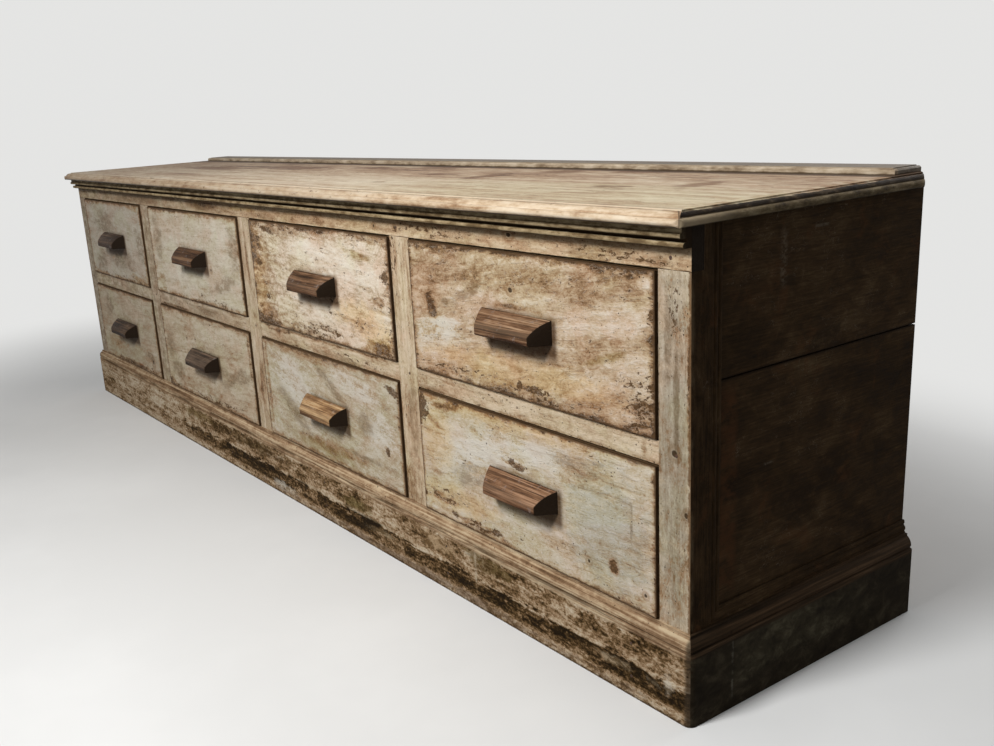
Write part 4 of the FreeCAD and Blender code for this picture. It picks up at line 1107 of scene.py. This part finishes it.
# Finishes on the face frame, ends, top and plinth
frame_tones = ((0.47, 0.355, 0.23), (0.565, 0.45, 0.31), (0.66, 0.55, 0.41))
post_tones = ((0.40, 0.32, 0.22), (0.49, 0.40, 0.29), (0.60, 0.52, 0.40))
rail_tones = ((0.43, 0.30, 0.18), (0.54, 0.41, 0.265), (0.63, 0.51, 0.36))
rail_paint = top_rail_finish("top_rail_paint", 205, rail_tones, top_rail_marks)
mid_rail_paint = frame_finish("mid_rail_paint", "X", 211, frame_tones, mid_rail_marks,
                              [span("mid_rails", 2)])
muntin_paint = frame_finish("muntin_paint", "Z", 201, frame_tones, muntin_marks, muntin_edges)
post_paint = post_finish("post_paint", 221, post_tones, post_marks)
end_brown = end_finish()
scrubbed_top = top_finish()
side_plinth_paint = side_plinth_finish()
side_nosing_paint = side_nosing_finish()
upright_pine = bare_finish("upright_pine", "Z", 13, pine_light, pine_dark, 0.8)
long_pine = bare_finish("long_pine", "X", 19, pine_light, pine_dark, 0.8)
deep_pine = bare_finish("deep_pine", "Y", 23, pine_light, pine_dark, 0.8)
carcass_finishes = {
    "muntins": muntin_paint, "mid_rails": mid_rail_paint, "top_rail": rail_paint,
    "right_corner_post": post_paint, "left_corner_post": post_paint,
    "right_end_boards": end_brown, "left_end_boards": end_brown,
    "right_end_rail": end_brown, "left_end_rail": end_brown,
    "top_front_plank": scrubbed_top, "top_back_plank": scrubbed_top, "back_ledge": ledge_finish(),
    "top_nosing_front": nosing_finish(), "top_nosing_right": side_nosing_paint,
    "top_nosing_left": side_nosing_paint, "cornice_moulding": cornice_finish(),
    "plinth_front": plinth_finish(), "plinth_right": side_plinth_paint,
    "plinth_left": side_plinth_paint, "bottom_rail": long_pine, "carcass_floor": long_pine,
    "floor_bearers": deep_pine, "partitions": upright_pine, "drawer_runners": deep_pine,
    "drawer_guides": deep_pine, "drawer_kickers": deep_pine, "drawer_stops": deep_pine,
    "back_boards": bare_finish("back_board_pine", "Z", 29, pine_light, pine_dark, 0.7, 12),
}
for node, material in carcass_finishes.items():
    dress(node, material)
for node in ("muntins", "mid_rails", "top_rail", "right_corner_post", "left_corner_post"):
    soften(node, 0.6 * millimetre)
for node in ("top_front_plank", "top_back_plank", "back_ledge", "plinth_front", "plinth_right",
             "plinth_left", "right_end_boards", "left_end_boards", "back_boards"):
    soften(node, 0.8 * millimetre)


def build_nails(name, places, radius, proud):
    """Rusty round nail heads on the front, each standing a little proud of the wood."""
    heads = []
    for x, y, z in places:
        bpy.ops.object.select_all(action="DESELECT")
        depth = 3 * proud
        bpy.ops.mesh.primitive_cylinder_add(vertices=16, radius=radius, depth=depth,
                                            location=(x, y - proud + depth / 2, z),
                                            rotation=(math.pi / 2, 0, 0))
        head = bpy.context.object
        bpy.ops.object.transform_apply(location=True, rotation=True, scale=True)
        ease = head.modifiers.new("ease", "BEVEL")
        ease.width = 0.8 * proud
        ease.segments = 2
        bpy.ops.object.modifier_apply(modifier=ease.name)
        heads.append(head)
    bpy.ops.object.select_all(action="DESELECT")
    for head in heads:
        head.select_set(True)
    bpy.context.view_layer.objects.active = heads[0]
    bpy.ops.object.join()
    nails = bpy.context.object
    nails.name = name
    nails.data.materials.append(rusty_iron)
    bpy.ops.object.shade_smooth_by_angle(angle=math.radians(40))
    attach(nails, "carcass")


# Nails through the frame, a little off the middle of its joints, and along the plinth
rusty_iron = iron_finish()
rail_z = sum(span("mid_rails", 2)) / 2
muntin_x = [sum(edges) / 2 for edges in muntin_edges]
post_half_width = 0.029
post_x = side_x - post_half_width
upright_x = (-post_x, *muntin_x, post_x)
frame_places = [(x + 0.004, face_y, rail_z + 0.003) for x in upright_x]
frame_places += [(x - 0.006, face_y, rail_bottom_z + 0.016) for x in upright_x]
plinth_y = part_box("plinth_front")[0].y
plinth_nail_x = (-1.21, -0.73, -0.24, 0.26, 0.72, 1.19)
plinth_nail_levels = (0.034, 0.088)
plinth_places = [(x, plinth_y, z) for x in plinth_nail_x for z in plinth_nail_levels]
build_nails("frame_nails", frame_places, 2.6 * millimetre, 0.35 * millimetre)
build_nails("plinth_nails", plinth_places, 2.4 * millimetre, 0.3 * millimetre)
